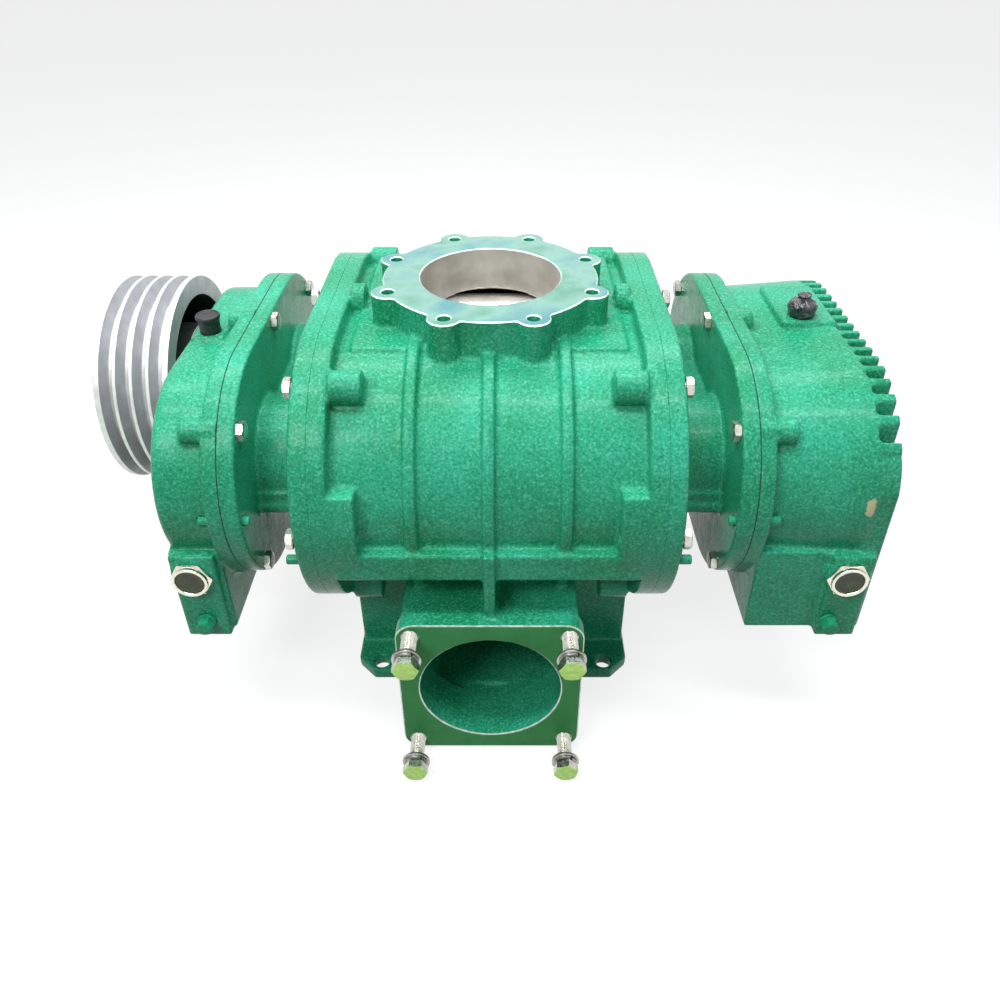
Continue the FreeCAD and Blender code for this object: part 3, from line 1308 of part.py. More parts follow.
def caps():
    """The oil filler cap on the drive end cover and the breather on the gear cover."""
    centre = (DRIVE.at("cap_place_x"), "cap_place_y")
    base = "drive_top + filler_boss"
    radii = ("cap_radius - cap_flare", "cap_radius")
    keep("oil_filler_cap", join(
        "oil_filler_cap",
        taper("cap_head", "z", radii, (base, f"{base} + cap_rise"), centre),
        rod("cap_screw", "z", "cap_thread / 2", (f"{base} - cap_screwed", f"{base} + 1"), centre),
    ))
    centre = ("breather_place_x", "breather_place_y")
    base = "gear_top + filler_boss"
    head = (f"{base} + breather_hex", f"{base} + breather_rise")
    keep("breather_cap", join(
        "breather_cap",
        rod("breather_head", "z", "breather_radius", head, centre),
        hexagon("breather_nut", "z", "breather_flats", (base, f"{base} + breather_hex + 1"), centre),
        rod("breather_screw", "z", "cap_thread / 2", (f"{base} - cap_screwed", f"{base} + 1"), centre),
    ))


def build():
    """Make every sub-part."""
    fill_sheet()
    main_casing()
    for end in (DRIVE, GEAR):
        name = end.name
        end_plate(end)
        gaskets(end)
        bolts(f"{name}_plate_bolts", end, around("bolt_circle"), "plate_outer", "plate_bolt_length", True)
        bolts(f"{name}_ring_bolts", end, ring_places(), "ring_inner", "ring_bolt_length", False)
    drive_end_cover()
    gear_cover()
    bearings()
    shafts()
    phase = number("rotor_phase")
    pitch = number("pitch_radius")
    rotor("drive_rotor", pitch, phase)
    rotor("driven_rotor", -pitch, 240 - phase)
    timing_gear("driven_timing_gear", -pitch, 0)
    timing_gear("drive_timing_gear", pitch, 180 + 180 / number("gear_teeth"))
    shaft_train("drive_shaft", REAR_Y)
    shaft_train("driven_shaft", FRONT_Y)
    seal_set()
    pulley()
    slinger()
    outlet_fasteners()
    dowels()
    for end in (DRIVE, GEAR):
        sight_glass(end)
        drain_plug(end)
    caps()


def check():
    """Stop if an object of the document failed, or a sub-part is empty or broken."""
    failed = [thing.Name for thing in doc.Objects if "Invalid" in thing.State or "Error" in thing.State]
    broken = [name for name, thing in subparts.items() if thing.Shape.isNull() or not thing.Shape.isValid()]
    if failed or broken:
        raise RuntimeError(f"failed objects {failed}, broken sub-parts {broken}")


def write():
    """Write each sub-part to its own STEP file."""
    os.makedirs("parts", exist_ok=True)
    for name, thing in subparts.items():
        thing.Shape.exportStep(f"parts/{name}.step")
        print(name, len(thing.Shape.Solids), "solids,", round(thing.Shape.Volume / 1000, 1), "cm3")


build()
doc.recompute()
check()
write()
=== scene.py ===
import math
import random

import bmesh
import bpy
from bpy.props import FloatProperty, FloatVectorProperty, IntProperty, PointerProperty
from mathutils import Matrix, Vector, noise


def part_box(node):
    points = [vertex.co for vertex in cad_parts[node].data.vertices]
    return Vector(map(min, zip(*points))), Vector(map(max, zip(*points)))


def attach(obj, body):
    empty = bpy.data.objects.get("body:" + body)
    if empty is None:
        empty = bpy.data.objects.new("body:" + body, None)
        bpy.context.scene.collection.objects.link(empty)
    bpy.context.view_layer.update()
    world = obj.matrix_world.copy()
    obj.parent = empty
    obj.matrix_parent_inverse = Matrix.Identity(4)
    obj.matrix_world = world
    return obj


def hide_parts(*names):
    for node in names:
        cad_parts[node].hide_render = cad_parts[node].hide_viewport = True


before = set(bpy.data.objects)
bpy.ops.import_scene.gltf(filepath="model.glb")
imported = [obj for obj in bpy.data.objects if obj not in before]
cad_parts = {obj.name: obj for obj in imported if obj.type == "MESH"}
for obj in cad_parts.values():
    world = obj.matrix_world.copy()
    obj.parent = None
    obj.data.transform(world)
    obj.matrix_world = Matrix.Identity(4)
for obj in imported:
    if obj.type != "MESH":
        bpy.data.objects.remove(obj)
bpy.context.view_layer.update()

bl_info = {
    "name": "Roots Vacuum Pump",
    "version": (1, 0, 0),
    "blender": (4, 5, 0),
    "location": "View3D > Sidebar > Pump",
    "description": "Dresses the packed roots vacuum pump with its castings, fittings and finishes",
    "category": "Object",
}

MM = 0.001
ALONG_X = Vector((1, 0, 0))
FORWARD = Vector((0, -1, 0))
UP = Vector((0, 0, 1))


# Places read from the frame

def low(node):
    """The lowest corner of a CAD node."""
    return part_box(node)[0]


def high(node):
    """The highest corner of a CAD node."""
    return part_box(node)[1]


def middle(node):
    """The centre of a CAD node's box."""
    return (low(node) + high(node)) / 2


def solids(node):
    """The box of each separate solid in a CAD node, such as each bolt of a set."""
    metal = bmesh.new()
    metal.from_mesh(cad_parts[node].data)
    bmesh.ops.remove_doubles(metal, verts=metal.verts, dist=1e-6)
    seen = set()
    boxes = []
    for first in metal.verts:
        if first in seen:
            continue
        seen.add(first)
        waiting = [first]
        corners = []
        while waiting:
            here = waiting.pop()
            corners.append(here.co.copy())
            for edge in here.link_edges:
                there = edge.other_vert(here)
                if there not in seen:
                    seen.add(there)
                    waiting.append(there)
        lowest = Vector([min(c[i] for c in corners) for i in range(3)])
        highest = Vector([max(c[i] for c in corners) for i in range(3)])
        boxes.append((lowest, highest))
    metal.free()
    return boxes


SHAFT_HEIGHT = middle("drive_shaft").z
DRIVE_AXIS_Y = middle("drive_shaft").y
INLET_TOP = high("main_casing").z
OUTLET_FRONT = low("main_casing").y
CASING_END = high("main_casing").x


# Sizes and colours that a user may change

class PumpCastings(bpy.types.PropertyGroup):
    """How the castings come out of the mould and off the milling machine."""

    mould_grain: FloatProperty(
        name="Mould grain", description="Cell size at which a casting is formed",
        default=1.8 * MM, min=0.8 * MM, unit="LENGTH")
    softening: IntProperty(
        name="Softening", description="Passes that wear the cast edges round", default=9, min=0)
    stock: FloatProperty(
        name="Milling stock", description="Metal left on a face until it is milled",
        default=6 * MM, unit="LENGTH")
    kept_share: FloatProperty(
        name="Kept faces", description="Share of the mould's faces that a casting keeps",
        default=0.3, min=0.05, max=1.0, subtype="FACTOR")
    joint_edge: FloatProperty(
        name="Joint edge", description="Broken edge of a joint face", default=0.35 * MM, unit="LENGTH")
    port_edge: FloatProperty(
        name="Port edge", description="Broken edge of the inlet and outlet flanges", default=1.3 * MM,
        unit="LENGTH")
    chamber_radius: FloatProperty(
        name="Chamber radius", description="Bore that a rotor turns in", default=124.3 * MM, unit="LENGTH")


class PumpPaint(bpy.types.PropertyGroup):
    """The green enamel."""

    light_green: FloatVectorProperty(
        name="Light green", description="Enamel where it is thin", default=(0.034, 0.44, 0.26),
        subtype="COLOR", min=0, max=1)
    deep_green: FloatVectorProperty(
        name="Deep green", description="Enamel where it has run together", default=(0.014, 0.31, 0.14),
        subtype="COLOR", min=0, max=1)
    # Painted glint colour, laid on the tops of the sand grain.
    grain_glint_green: FloatVectorProperty(
        name="Grain green", description="Enamel on the tops of the sand grain", default=(0.26, 0.78, 0.6),
        subtype="COLOR", min=0, max=1)
    face_green: FloatVectorProperty(
        name="Face green", description="Flat paint on the outlet face", default=(0.045, 0.27, 0.08),
        subtype="COLOR", min=0, max=1)
    gloss: FloatProperty(
        name="Roughness", description="Roughness of the enamel", default=0.2, subtype="FACTOR", min=0, max=1)
    grain: FloatProperty(
        name="Grain", description="Size of the sand grain under the enamel", default=2.6 * MM, unit="LENGTH")
    grain_depth: FloatProperty(
        name="Grain depth", description="Height of that grain", default=0.5 * MM, unit="LENGTH")


class PumpMetals(bpy.types.PropertyGroup):
    """The bare metals and plastics."""

    zinc: FloatVectorProperty(
        name="Bolt zinc", description="Plated bolts", default=(0.68, 0.67, 0.6),
        subtype="COLOR", min=0, max=1)
    iron: FloatVectorProperty(
        name="Turned iron", description="Groove walls of the pulley", default=(0.58, 0.58, 0.6),
        subtype="COLOR", min=0, max=1)
    nickel: FloatVectorProperty(
        name="Nickel", description="Sight glass rings", default=(0.86, 0.82, 0.7),
        subtype="COLOR", min=0, max=1)
    oil: FloatVectorProperty(
        name="Oil", description="Oil behind the sight glasses", default=(0.03, 0.042, 0.014),
        subtype="COLOR", min=0, max=1)


class PumpFasteners(bpy.types.PropertyGroup):
    """The bolts of the end plates, covers and outlet."""

    plate_head: FloatProperty(
        name="Plate bolt head", description="Head height of the plate and ring bolts",
        default=7.5 * MM, unit="LENGTH")
    outlet_head: FloatProperty(
        name="Outlet bolt head", description="Head height of the outlet bolts",
        default=10 * MM, unit="LENGTH")
    outlet_pitch: FloatProperty(
        name="Outlet thread", description="Thread pitch of the outlet bolts", default=2 * MM, unit="LENGTH")
    crown_angle: FloatProperty(
        name="Crown angle", description="Slope of a bolt head's chamfer", default=math.radians(30),
        subtype="ANGLE")


class PumpPulley(bpy.types.PropertyGroup):
    """The section that the pulley is turned to."""

    groove_pitch: FloatProperty(
        name="Groove pitch", description="From groove to groove", default=19 * MM, unit="LENGTH")
    groove_top: FloatProperty(
        name="Groove width", description="Width of a groove at the rim", default=15 * MM, unit="LENGTH")
    groove_floor: FloatProperty(
        name="Groove floor", description="Width of a groove at its floor", default=5.5 * MM, unit="LENGTH")
    groove_depth: FloatProperty(
        name="Groove depth", description="From the rim to a groove's floor", default=15 * MM, unit="LENGTH")
    rim_wall: FloatProperty(
        name="Rim wall", description="Metal between a groove and the hollow side", default=8 * MM,
        unit="LENGTH")
    hub_radius: FloatProperty(
        name="Hub radius", description="Outside of the hub", default=68 * MM, unit="LENGTH")
    web: FloatProperty(
        name="Web", description="Thickness of the closed outer end", default=18 * MM, unit="LENGTH")
    bush_taper: FloatProperty(
        name="Bush taper", description="Loss of the bush's radius over its length", default=3 * MM,
        unit="LENGTH")


class PumpStage(bpy.types.PropertyGroup):
    """The camera, lamps and floor."""

    camera_place: FloatVectorProperty(
        name="Camera place", description="Where the camera stands", default=(0.0173, -0.8481, 0.8306),
        subtype="TRANSLATION")
    camera_tilt: FloatProperty(
        name="Camera tilt", description="Angle below the horizon", default=math.radians(34.02),
        subtype="ANGLE")
    lens: FloatProperty(name="Lens", description="Focal length in millimetres", default=30.11)
    shift: FloatVectorProperty(
        name="Shift", description="Lens shift as a share of the frame", size=2, default=(-0.0065, -0.0631))
    daylight: FloatProperty(
        name="Daylight", description="Strength of the world's light on the object", default=0.19, min=0)
    floor_glow: FloatProperty(
        name="Floor glow", description="How white the floor is seen, before its light", default=0.8, min=0)
    rear_power: FloatProperty(name="Rear strip", description="Watts of the strip behind", default=33)
    top_power: FloatProperty(name="Top strip", description="Watts of the strip above", default=29)
    key_power: FloatProperty(name="Key lamp", description="Watts of the lamp at the upper left", default=20)
    fill_power: FloatProperty(name="Fill lamp", description="Watts of the lamp in front", default=3)


# Finishes

# A spot on the gear cover, with its X doubled so that the spot comes out narrow.
WORN_SPOT = (2 * 377 * MM, -204 * MM, 312 * MM)


class Finish:
    """A material built from the Principled shader by short calls."""

    def __init__(self, name):
        self.material = bpy.data.materials.new(name)
        self.material.use_nodes = True
        self.tree = self.material.node_tree
        self.shader = self.tree.nodes["Principled BSDF"]
        self.place = self.add("ShaderNodeTexCoord").outputs["Object"]

    def add(self, kind, sockets=None, **settings):
        node = self.tree.nodes.new(kind)
        for name, value in settings.items():
            setattr(node, name, value)
        for name, value in (sockets or {}).items():
            self.plug(node.inputs[name], value)
        return node

    def plug(self, socket, value):
        if isinstance(value, bpy.types.NodeSocket):
            self.tree.links.new(value, socket)
        else:
            socket.default_value = value

    def set(self, **values):
        """Sets the shader's own sockets: base_color for Base Color, and so on."""
        for name, value in values.items():
            socket = next(s for s in self.shader.inputs if s.name.lower().replace(" ", "_") == name)
            self.plug(socket, (*value, 1) if isinstance(value, (tuple, list)) and len(value) == 3 else value)
        return self

    def moved(self, stretch=(1, 1, 1), offset=(0, 0, 0)):
        """The place, stretched and moved."""
        sockets = {"Vector": self.place, "Scale": stretch, "Location": offset}
        return self.add("ShaderNodeMapping", sockets).outputs["Vector"]

    def noise(self, size, detail=2.0, place=None, harshness=0.5):
        """Noise with lumps of about that size."""
        sockets = {"Vector": place or self.place, "Scale": 1 / size, "Detail": detail, "Roughness": harshness}
        return self.add("ShaderNodeTexNoise", sockets).outputs["Fac"]

    def rings(self, size, axis, place=None, wobble=0.4):
        """Turning marks: rings about an axis."""
        sockets = {"Vector": place or self.place, "Scale": 1 / size / math.tau * 2, "Distortion": wobble}
        wave = self.add("ShaderNodeTexWave", sockets, wave_type="RINGS", rings_direction=axis)
        return wave.outputs["Fac"]

    def scored(self, size, axis):
        """Turning marks on a round face: bands along an axis."""
        sockets = {"Vector": self.place, "Scale": 1 / size / math.tau * 2, "Distortion": 0.3}
        wave = self.add("ShaderNodeTexWave", sockets, wave_type="BANDS", bands_direction=axis)
        return wave.outputs["Fac"]

    def ramp(self, factor, *stops):
        """Colours or values along a factor."""
        node = self.add("ShaderNodeValToRGB", {"Fac": factor})
        points = node.color_ramp.elements
        while len(points) < len(stops):
            points.new(0.5)
        for point, (position, colour) in zip(points, stops):
            point.position = position
            point.color = (colour,) * 3 + (1,) if isinstance(colour, (int, float)) else (*colour, 1)
        return node.outputs["Color"]

    def patches(self, size, first, second, detail=2.0):
        """Patches of about that size, from one colour or value to another."""
        return self.ramp(self.noise(size, detail), (0.3, first), (0.7, second))

    def blend(self, factor, first, second, kind="MIX"):
        """One colour over another."""
        node = self.add("ShaderNodeMix", data_type="RGBA", blend_type=kind)
        self.plug(node.inputs[0], factor)
        for socket, value in ((node.inputs[6], first), (node.inputs[7], second)):
            self.plug(socket, value if isinstance(value, bpy.types.NodeSocket) else (*value, 1))
        return node.outputs[2]

    def sums(self, kind, first, second):
        """One value worked out from two."""
        node = self.add("ShaderNodeMath", operation=kind)
        self.plug(node.inputs[0], first)
        self.plug(node.inputs[1], second)
        return node.outputs[0]

    def bump(self, height, depth, under=None):
        """Relief of a height map, over another relief."""
        node = self.add("ShaderNodeBump", {"Height": height, "Distance": depth, "Strength": 1.0})
        if under is not None:
            self.plug(node.inputs["Normal"], under)
        return node.outputs["Normal"]

    def near(self, spot, reach, place=None):
        """1 at a spot on the object, falling to 0 at its reach."""
        sockets = {0: place or self.place, 1: spot}
        away = self.add("ShaderNodeVectorMath", sockets, operation="DISTANCE").outputs["Value"]
        node = self.add("ShaderNodeMapRange", {"Value": away, "From Min": 0.0, "From Max": reach})
        self.plug(node.inputs["To Min"], 1.0)
        self.plug(node.inputs["To Max"], 0.0)
        return node.outputs["Result"]


def enamel(name, grain_depth, gloss):
    """Green gloss enamel over a rough casting, with painted shade in the hollows of its sand grain and
    painted glints on the grain's tops.
    """
    paint = bpy.context.scene.pump_paint
    made = Finish(name)
    drift = made.noise(90 * MM, detail=3)
    sand = made.noise(paint.grain, detail=3, harshness=0.65)
    tone = made.ramp(drift, (0.32, tuple(paint.deep_green)), (0.68, tuple(paint.light_green)))
    # Painted shade: the hollows of the sand grain are darkened to 0.6 of the tone.
    hollow = made.blend(1.0, tone, (0.6, 0.6, 0.6), "MULTIPLY")
    tone = made.blend(made.ramp(sand, (0.32, 0.0), (0.5, 1.0)), hollow, tone)
    # Painted glints: the tops of the grain are lightened towards the glint colour, more for deeper grain.
    tops = tuple(paint.grain_glint_green)
    share = 0.42 * grain_depth / paint.grain_depth
    made.set(base_color=made.blend(made.ramp(sand, (0.53, 0.0), (0.7, share)), tone, tops))
    swell = made.bump(made.noise(22 * MM, detail=2), 0.7 * MM)
    grain = made.bump(sand, grain_depth, swell)
    made.set(normal=grain, roughness=made.ramp(made.noise(14 * MM), (0.3, gloss * 0.8), (0.75, gloss * 1.5)))
    made.set(coat_weight=0.06, coat_roughness=0.08, specular_ior_level=0.15)
    return made


def green_enamel():
    """The enamel of the castings, worn to primer at one spot on the gear cover."""
    paint = bpy.context.scene.pump_paint
    made = enamel("green_enamel", paint.grain_depth, paint.gloss)
    narrow = made.near(WORN_SPOT, 18 * MM, made.moved(stretch=(2, 1, 1)))
    torn = made.sums("MULTIPLY", narrow, made.noise(7 * MM, detail=4))
    green = made.shader.inputs["Base Color"].links[0].from_socket
    made.set(base_color=made.blend(made.ramp(torn, (0.2, 0.0), (0.27, 1.0)), green, (0.62, 0.6, 0.36)))
    return made.material


def smooth_enamel():
    """Thicker enamel on milled faces and fittings."""
    paint = bpy.context.scene.pump_paint
    return enamel("smooth_enamel", paint.grain_depth * 0.25, paint.gloss).material


def face_paint():
    """Flat yellowish green on the outlet face, brushed on after milling."""
    paint = bpy.context.scene.pump_paint
    made = Finish("face_paint")
    thick = tuple(paint.face_green)
    thin = (thick[0] * 1.3, thick[1] * 1.2, thick[2] * 1.3)
    strokes = made.noise(24 * MM, detail=4, place=made.moved(stretch=(1, 1, 0.4)))
    made.set(base_color=made.ramp(strokes, (0.3, thick), (0.7, thin)), specular_ior_level=0.2)
    made.set(roughness=made.patches(10 * MM, 0.4, 0.6))
    made.set(normal=made.bump(made.noise(3 * MM, detail=3), 0.06 * MM))
    return made.material


def milled_face():
    """The inlet flange's milled face, with a thin green film left on it and pale and blue painted reflection
    in smears.
    """
    made = Finish("milled_face")
    film_and_sheen = made.noise(70 * MM, detail=3)
    # Painted reflection: the pale and blue tones stand in for reflections on the milled face; the green is
    # the film.
    green, pale, blue = (0.08, 0.3, 0.2), (0.24, 0.46, 0.38), (0.1, 0.31, 0.34)
    tone = made.ramp(film_and_sheen, (0.34, green), (0.5, pale), (0.66, blue))
    marks = made.bump(made.rings(0.8 * MM, "Z"), 0.012 * MM)
    lumps = made.bump(made.noise(9 * MM), 0.05 * MM, marks)
    rough = made.patches(30 * MM, 0.16, 0.34, detail=3)
    made.set(base_color=tone, metallic=0.25, roughness=rough, normal=lumps)
    made.set(coat_weight=0.15, coat_roughness=0.06)
    return made.material


def bare_edge():
    """Bright iron on a broken edge, where the enamel was milled away."""
    made = Finish("bare_edge")
    tone = made.ramp(made.noise(6 * MM, detail=3), (0.35, (0.42, 0.55, 0.49)), (0.65, (0.74, 0.8, 0.76)))
    made.set(base_color=tone, metallic=0.5, roughness=0.36, normal=made.bump(made.noise(1.5 * MM), 0.05 * MM))
    return made.material


def bored_iron():
    """Bored cast iron inside the casing, brown-grey with oil."""
    made = Finish("bored_iron")
    tone = made.patches(40 * MM, (0.46, 0.42, 0.36), (0.78, 0.74, 0.68), detail=4)
    marks = made.bump(made.scored(1.1 * MM, "X"), 0.01 * MM)
    rough = made.patches(12 * MM, 0.3, 0.5, detail=3)
    made.set(base_color=tone, metallic=0.35, roughness=rough, normal=marks)
    return made.material


def zinc_steel():
    """Zinc plate on bolts, a little yellow and handled."""
    metals = bpy.context.scene.pump_metals
    made = Finish("zinc_steel")
    patch = made.noise(5 * MM, detail=4)
    dull = tuple(c * 0.72 for c in metals.zinc)
    made.set(base_color=made.ramp(patch, (0.3, dull), (0.65, tuple(metals.zinc))), metallic=1.0)
    rough = made.patches(2.5 * MM, 0.22, 0.42, detail=4)
    made.set(roughness=rough, normal=made.bump(made.noise(1.2 * MM, detail=3), 0.03 * MM))
    return made.material


def lime_zinc():
    """Zinc with a painted lime-green reflection, on the ends of the outlet bolts."""
    made = Finish("lime_zinc")
    tone = made.patches(5 * MM, (0.3, 0.52, 0.1), (0.5, 0.72, 0.22), detail=4)
    made.set(base_color=tone, metallic=0.6, roughness=0.34)
    made.set(normal=made.bump(made.noise(1.2 * MM, detail=3), 0.03 * MM))
    return made.material


def washer_zinc():
    """Stamped washers, greyer than the bolts."""
    made = Finish("washer_zinc")
    tone = made.patches(4 * MM, (0.34, 0.33, 0.31), (0.56, 0.55, 0.52), detail=3)
    made.set(base_color=tone, metallic=1.0, roughness=0.38, normal=made.bump(made.noise(1.4 * MM), 0.03 * MM))
    return made.material


def turned_iron():
    """Turned cast iron of the pulley, with fine tool marks."""
    metals = bpy.context.scene.pump_metals
    made = Finish("turned_iron")
    darker = tuple(c * 0.82 for c in metals.iron)
    tone = made.ramp(made.noise(18 * MM, detail=5), (0.35, darker), (0.65, tuple(metals.iron)))
    pits = made.ramp(made.noise(1.6 * MM, detail=3), (0.28, 0.75), (0.4, 1.0))
    from_axis = made.moved(offset=(0, -DRIVE_AXIS_Y, -SHAFT_HEIGHT))
    faces = made.bump(made.rings(0.9 * MM, "X", from_axis), 0.012 * MM)
    rounds = made.bump(made.scored(0.8 * MM, "X"), 0.012 * MM, faces)
    rough = made.patches(8 * MM, 0.34, 0.52, detail=3)
    made.set(base_color=made.blend(1.0, tone, pits, "MULTIPLY"), metallic=0.3, roughness=rough, normal=rounds)
    return made.material


def bright_land():
    """The lands of the pulley, polished by handling."""
    made = Finish("bright_land")
    tone = made.patches(9 * MM, (0.74, 0.75, 0.72), (0.93, 0.94, 0.9), detail=4)
    marks = made.bump(made.scored(0.8 * MM, "X"), 0.01 * MM)
    made.set(base_color=tone, metallic=0.5, roughness=0.3, normal=marks)
    return made.material


def dark_primer():
    """Near-black painted shade in the hollow side of the pulley."""
    made = Finish("dark_primer")
    tone = made.patches(14 * MM, (0.006, 0.012, 0.01), (0.02, 0.034, 0.028), detail=4)
    made.set(base_color=tone, roughness=0.6, specular_ior_level=0.2)
    made.set(normal=made.bump(made.noise(2.5 * MM, detail=3), 0.2 * MM))
    return made.material


def milled_rotor():
    """Milled rotor iron: bright, with long feed marks along the lobes."""
    made = Finish("milled_rotor")
    streaks = made.noise(7 * MM, detail=3, place=made.moved(stretch=(0.08, 1, 1)))
    tone = made.ramp(streaks, (0.3, (0.55, 0.53, 0.52)), (0.65, (0.84, 0.82, 0.8)))
    feed = made.bump(made.noise(1.8 * MM, detail=2, place=made.moved(stretch=(0.05, 1, 1))), 0.03 * MM)
    rough = made.ramp(streaks, (0.3, 0.2), (0.7, 0.36))
    made.set(base_color=tone, metallic=0.95, roughness=rough, normal=feed)
    return made.material


def ground_steel():
    """Ground shafts, sleeves and spacers."""
    made = Finish("ground_steel")
    tone = made.patches(10 * MM, (0.42, 0.42, 0.43), (0.62, 0.62, 0.63), detail=3)
    marks = made.bump(made.scored(0.5 * MM, "X"), 0.006 * MM)
    made.set(roughness=made.patches(5 * MM, 0.18, 0.3))
    made.set(base_color=tone, metallic=1.0, normal=marks)
    return made.material


def gear_steel():
    """Hardened gear steel with an oily brown film."""
    made = Finish("gear_steel")
    tone = made.patches(16 * MM, (0.24, 0.21, 0.17), (0.46, 0.44, 0.4), detail=4)
    made.set(base_color=tone, metallic=1.0, roughness=0.28, coat_weight=0.5, coat_roughness=0.1)
    made.set(normal=made.bump(made.noise(1.5 * MM, detail=3), 0.02 * MM))
    return made.material


def bearing_steel():
    """Polished bearing steel."""
    made = Finish("bearing_steel")
    tone = made.patches(8 * MM, (0.52, 0.52, 0.53), (0.7, 0.7, 0.71), detail=2)
    made.set(base_color=tone, metallic=1.0, roughness=made.patches(3 * MM, 0.1, 0.2))
    made.set(normal=made.bump(made.scored(0.4 * MM, "X"), 0.003 * MM))
    return made.material


def seal_rubber():
    """Black nitrile of the oil seals."""
    made = Finish("seal_rubber")
    tone = made.patches(3 * MM, (0.012, 0.012, 0.013), (0.035, 0.034, 0.033), detail=4)
    made.set(base_color=tone, roughness=0.55, normal=made.bump(made.noise(0.8 * MM, detail=3), 0.03 * MM))
    return made.material


def gasket_sheet():
    """Dark compressed fibre of the cover gaskets."""
    made = Finish("gasket_sheet")
    tone = made.patches(1.5 * MM, (0.012, 0.03, 0.024), (0.03, 0.06, 0.045), detail=4)
    made.set(base_color=tone, roughness=0.8, normal=made.bump(made.noise(1 * MM, detail=4), 0.05 * MM))
    return made.material


def nickel_ring():
    """Nickel-plated brass of the sight glasses."""
    metals = bpy.context.scene.pump_metals
    made = Finish("nickel_ring")
    worn = tuple(c * 0.8 for c in metals.nickel)
    made.set(base_color=made.patches(4 * MM, worn, tuple(metals.nickel), detail=3))
    made.set(metallic=1.0, roughness=made.patches(2 * MM, 0.12, 0.28, detail=3))
    made.set(normal=made.bump(made.rings(0.5 * MM, "Y"), 0.003 * MM))
    return made.material


def oil_glass():
    """Sight glass with cloudy olive-brown oil behind it."""
    metals = bpy.context.scene.pump_metals
    made = Finish("oil_glass")
    cloud = made.noise(9 * MM, detail=3)
    thin = tuple(c * 2.4 for c in metals.oil)
    made.set(base_color=made.ramp(cloud, (0.32, tuple(metals.oil)), (0.68, thin)))
    made.set(roughness=made.patches(3 * MM, 0.05, 0.14), specular_ior_level=0.3)
    made.set(coat_weight=0.2, coat_roughness=0.03)
    made.set(normal=made.bump(made.noise(6 * MM), 0.05 * MM))
    return made.material


def black_plastic():
    """Moulded black plastic of the filler cap."""
    made = Finish("black_plastic")
    tone = made.patches(4 * MM, (0.008, 0.008, 0.01), (0.03, 0.03, 0.036), detail=3)
    made.set(base_color=tone, roughness=made.patches(2 * MM, 0.32, 0.48))
    made.set(normal=made.bump(made.noise(0.7 * MM, detail=2), 0.03 * MM))
    return made.material


def dark_film():
    """Thin dark plastic film, crumpled over the breather."""
    made = Finish("dark_film")
    tone = made.patches(5 * MM, (0.01, 0.009, 0.012), (0.05, 0.04, 0.052), detail=4)
    made.set(base_color=tone, roughness=made.patches(2 * MM, 0.12, 0.3, detail=3))
    made.set(normal=made.bump(made.noise(2.2 * MM, detail=4, harshness=0.7), 0.5 * MM), coat_weight=0.5)
    made.set(coat_roughness=0.08)
    return made.material


FINISHES = {
    "green_casting": green_enamel,
    "green_fitting": smooth_enamel,
    "face_paint": face_paint,
    "bolt_steel": zinc_steel,
    "lime_zinc": lime_zinc,
    "washer_steel": washer_zinc,
    "rotor_iron": milled_rotor,
    "shaft_steel": ground_steel,
    "gear_steel": gear_steel,
    "bearing_steel": bearing_steel,
    "seal_rubber": seal_rubber,
    "gasket_sheet": gasket_sheet,
    "sight_metal": nickel_ring,
    "sight_lens": oil_glass,
    "cap_plastic": black_plastic,
    "breather_cover": dark_film,
    "pulley_iron": turned_iron,
    "bright_land": bright_land,
    "dark_primer": dark_primer,
    "milled_face": milled_face,
    "bare_edge": bare_edge,
    "bored_iron": bored_iron,
}
made_finishes = {}


def finish(name):
    """The material of that name, made the first time that it is asked for."""
    if name not in made_finishes:
        made_finishes[name] = FINISHES[name]()
    return made_finishes[name]


# Shapes

def facing(spot, way):
    """The matrix that takes local Z to a way and the origin to a spot."""
    return Matrix.Translation(spot) @ way.to_track_quat("Z", "Y").to_matrix().to_4x4()


def skin(metal, rings, closed=False):
    """Quads between rings of corners, each ring closed on itself. A ring of one corner is a tip."""
    corners = [[metal.verts.new(c) for c in ring] for ring in rings]
    if closed:
        corners.append(corners[0])
    for first, second in zip(corners, corners[1:]):
        count = max(len(first), len(second))
        for i in range(count):
            j = (i + 1) % count
            if len(first) == 1:
                metal.faces.new((first[0], second[j], second[i]))
            elif len(second) == 1:
                metal.faces.new((first[i], first[j], second[0]))
            else:
                metal.faces.new((first[i], first[j], second[j], second[i]))


def softened(profile, radius, steps=3, closed=False):
    """A profile of (along, radius) points with each corner rounded."""
    points = [Vector(p) for p in profile]
    rounded = []
    for i, corner in enumerate(points):
        if not closed and i in (0, len(points) - 1):
            rounded.append(tuple(corner))
            continue
        before = points[i - 1] - corner
        after = points[(i + 1) % len(points)] - corner
        reach = min(radius, before.length * 0.45, after.length * 0.45)
        start = corner + before.normalized() * reach
        end = corner + after.normalized() * reach
        for k in range(steps + 1):
            t = k / steps
            rounded.append(tuple(start.lerp(corner, t).lerp(corner.lerp(end, t), t)))
    return rounded


def turned(metal, profile, place, segments=48, closed=False):
    """A profile of (along, radius) points turned about the local Z of a place."""
    rings = []
    for along, radius in profile:
        if radius < 1e-6:
            rings.append([place @ Vector((0, 0, along))])
            continue
        angles = [math.tau * k / segments for k in range(segments)]
        rings.append([place @ Vector((radius * math.cos(a), radius * math.sin(a), along)) for a in angles])
    skin(metal, rings, closed)


def hexagon_radius(angle, flats):
    """How far a hexagon's edge is from its centre, in a direction."""
    sixth = math.tau / 6
    return flats / 2 / math.cos((angle % sixth) - sixth / 2)


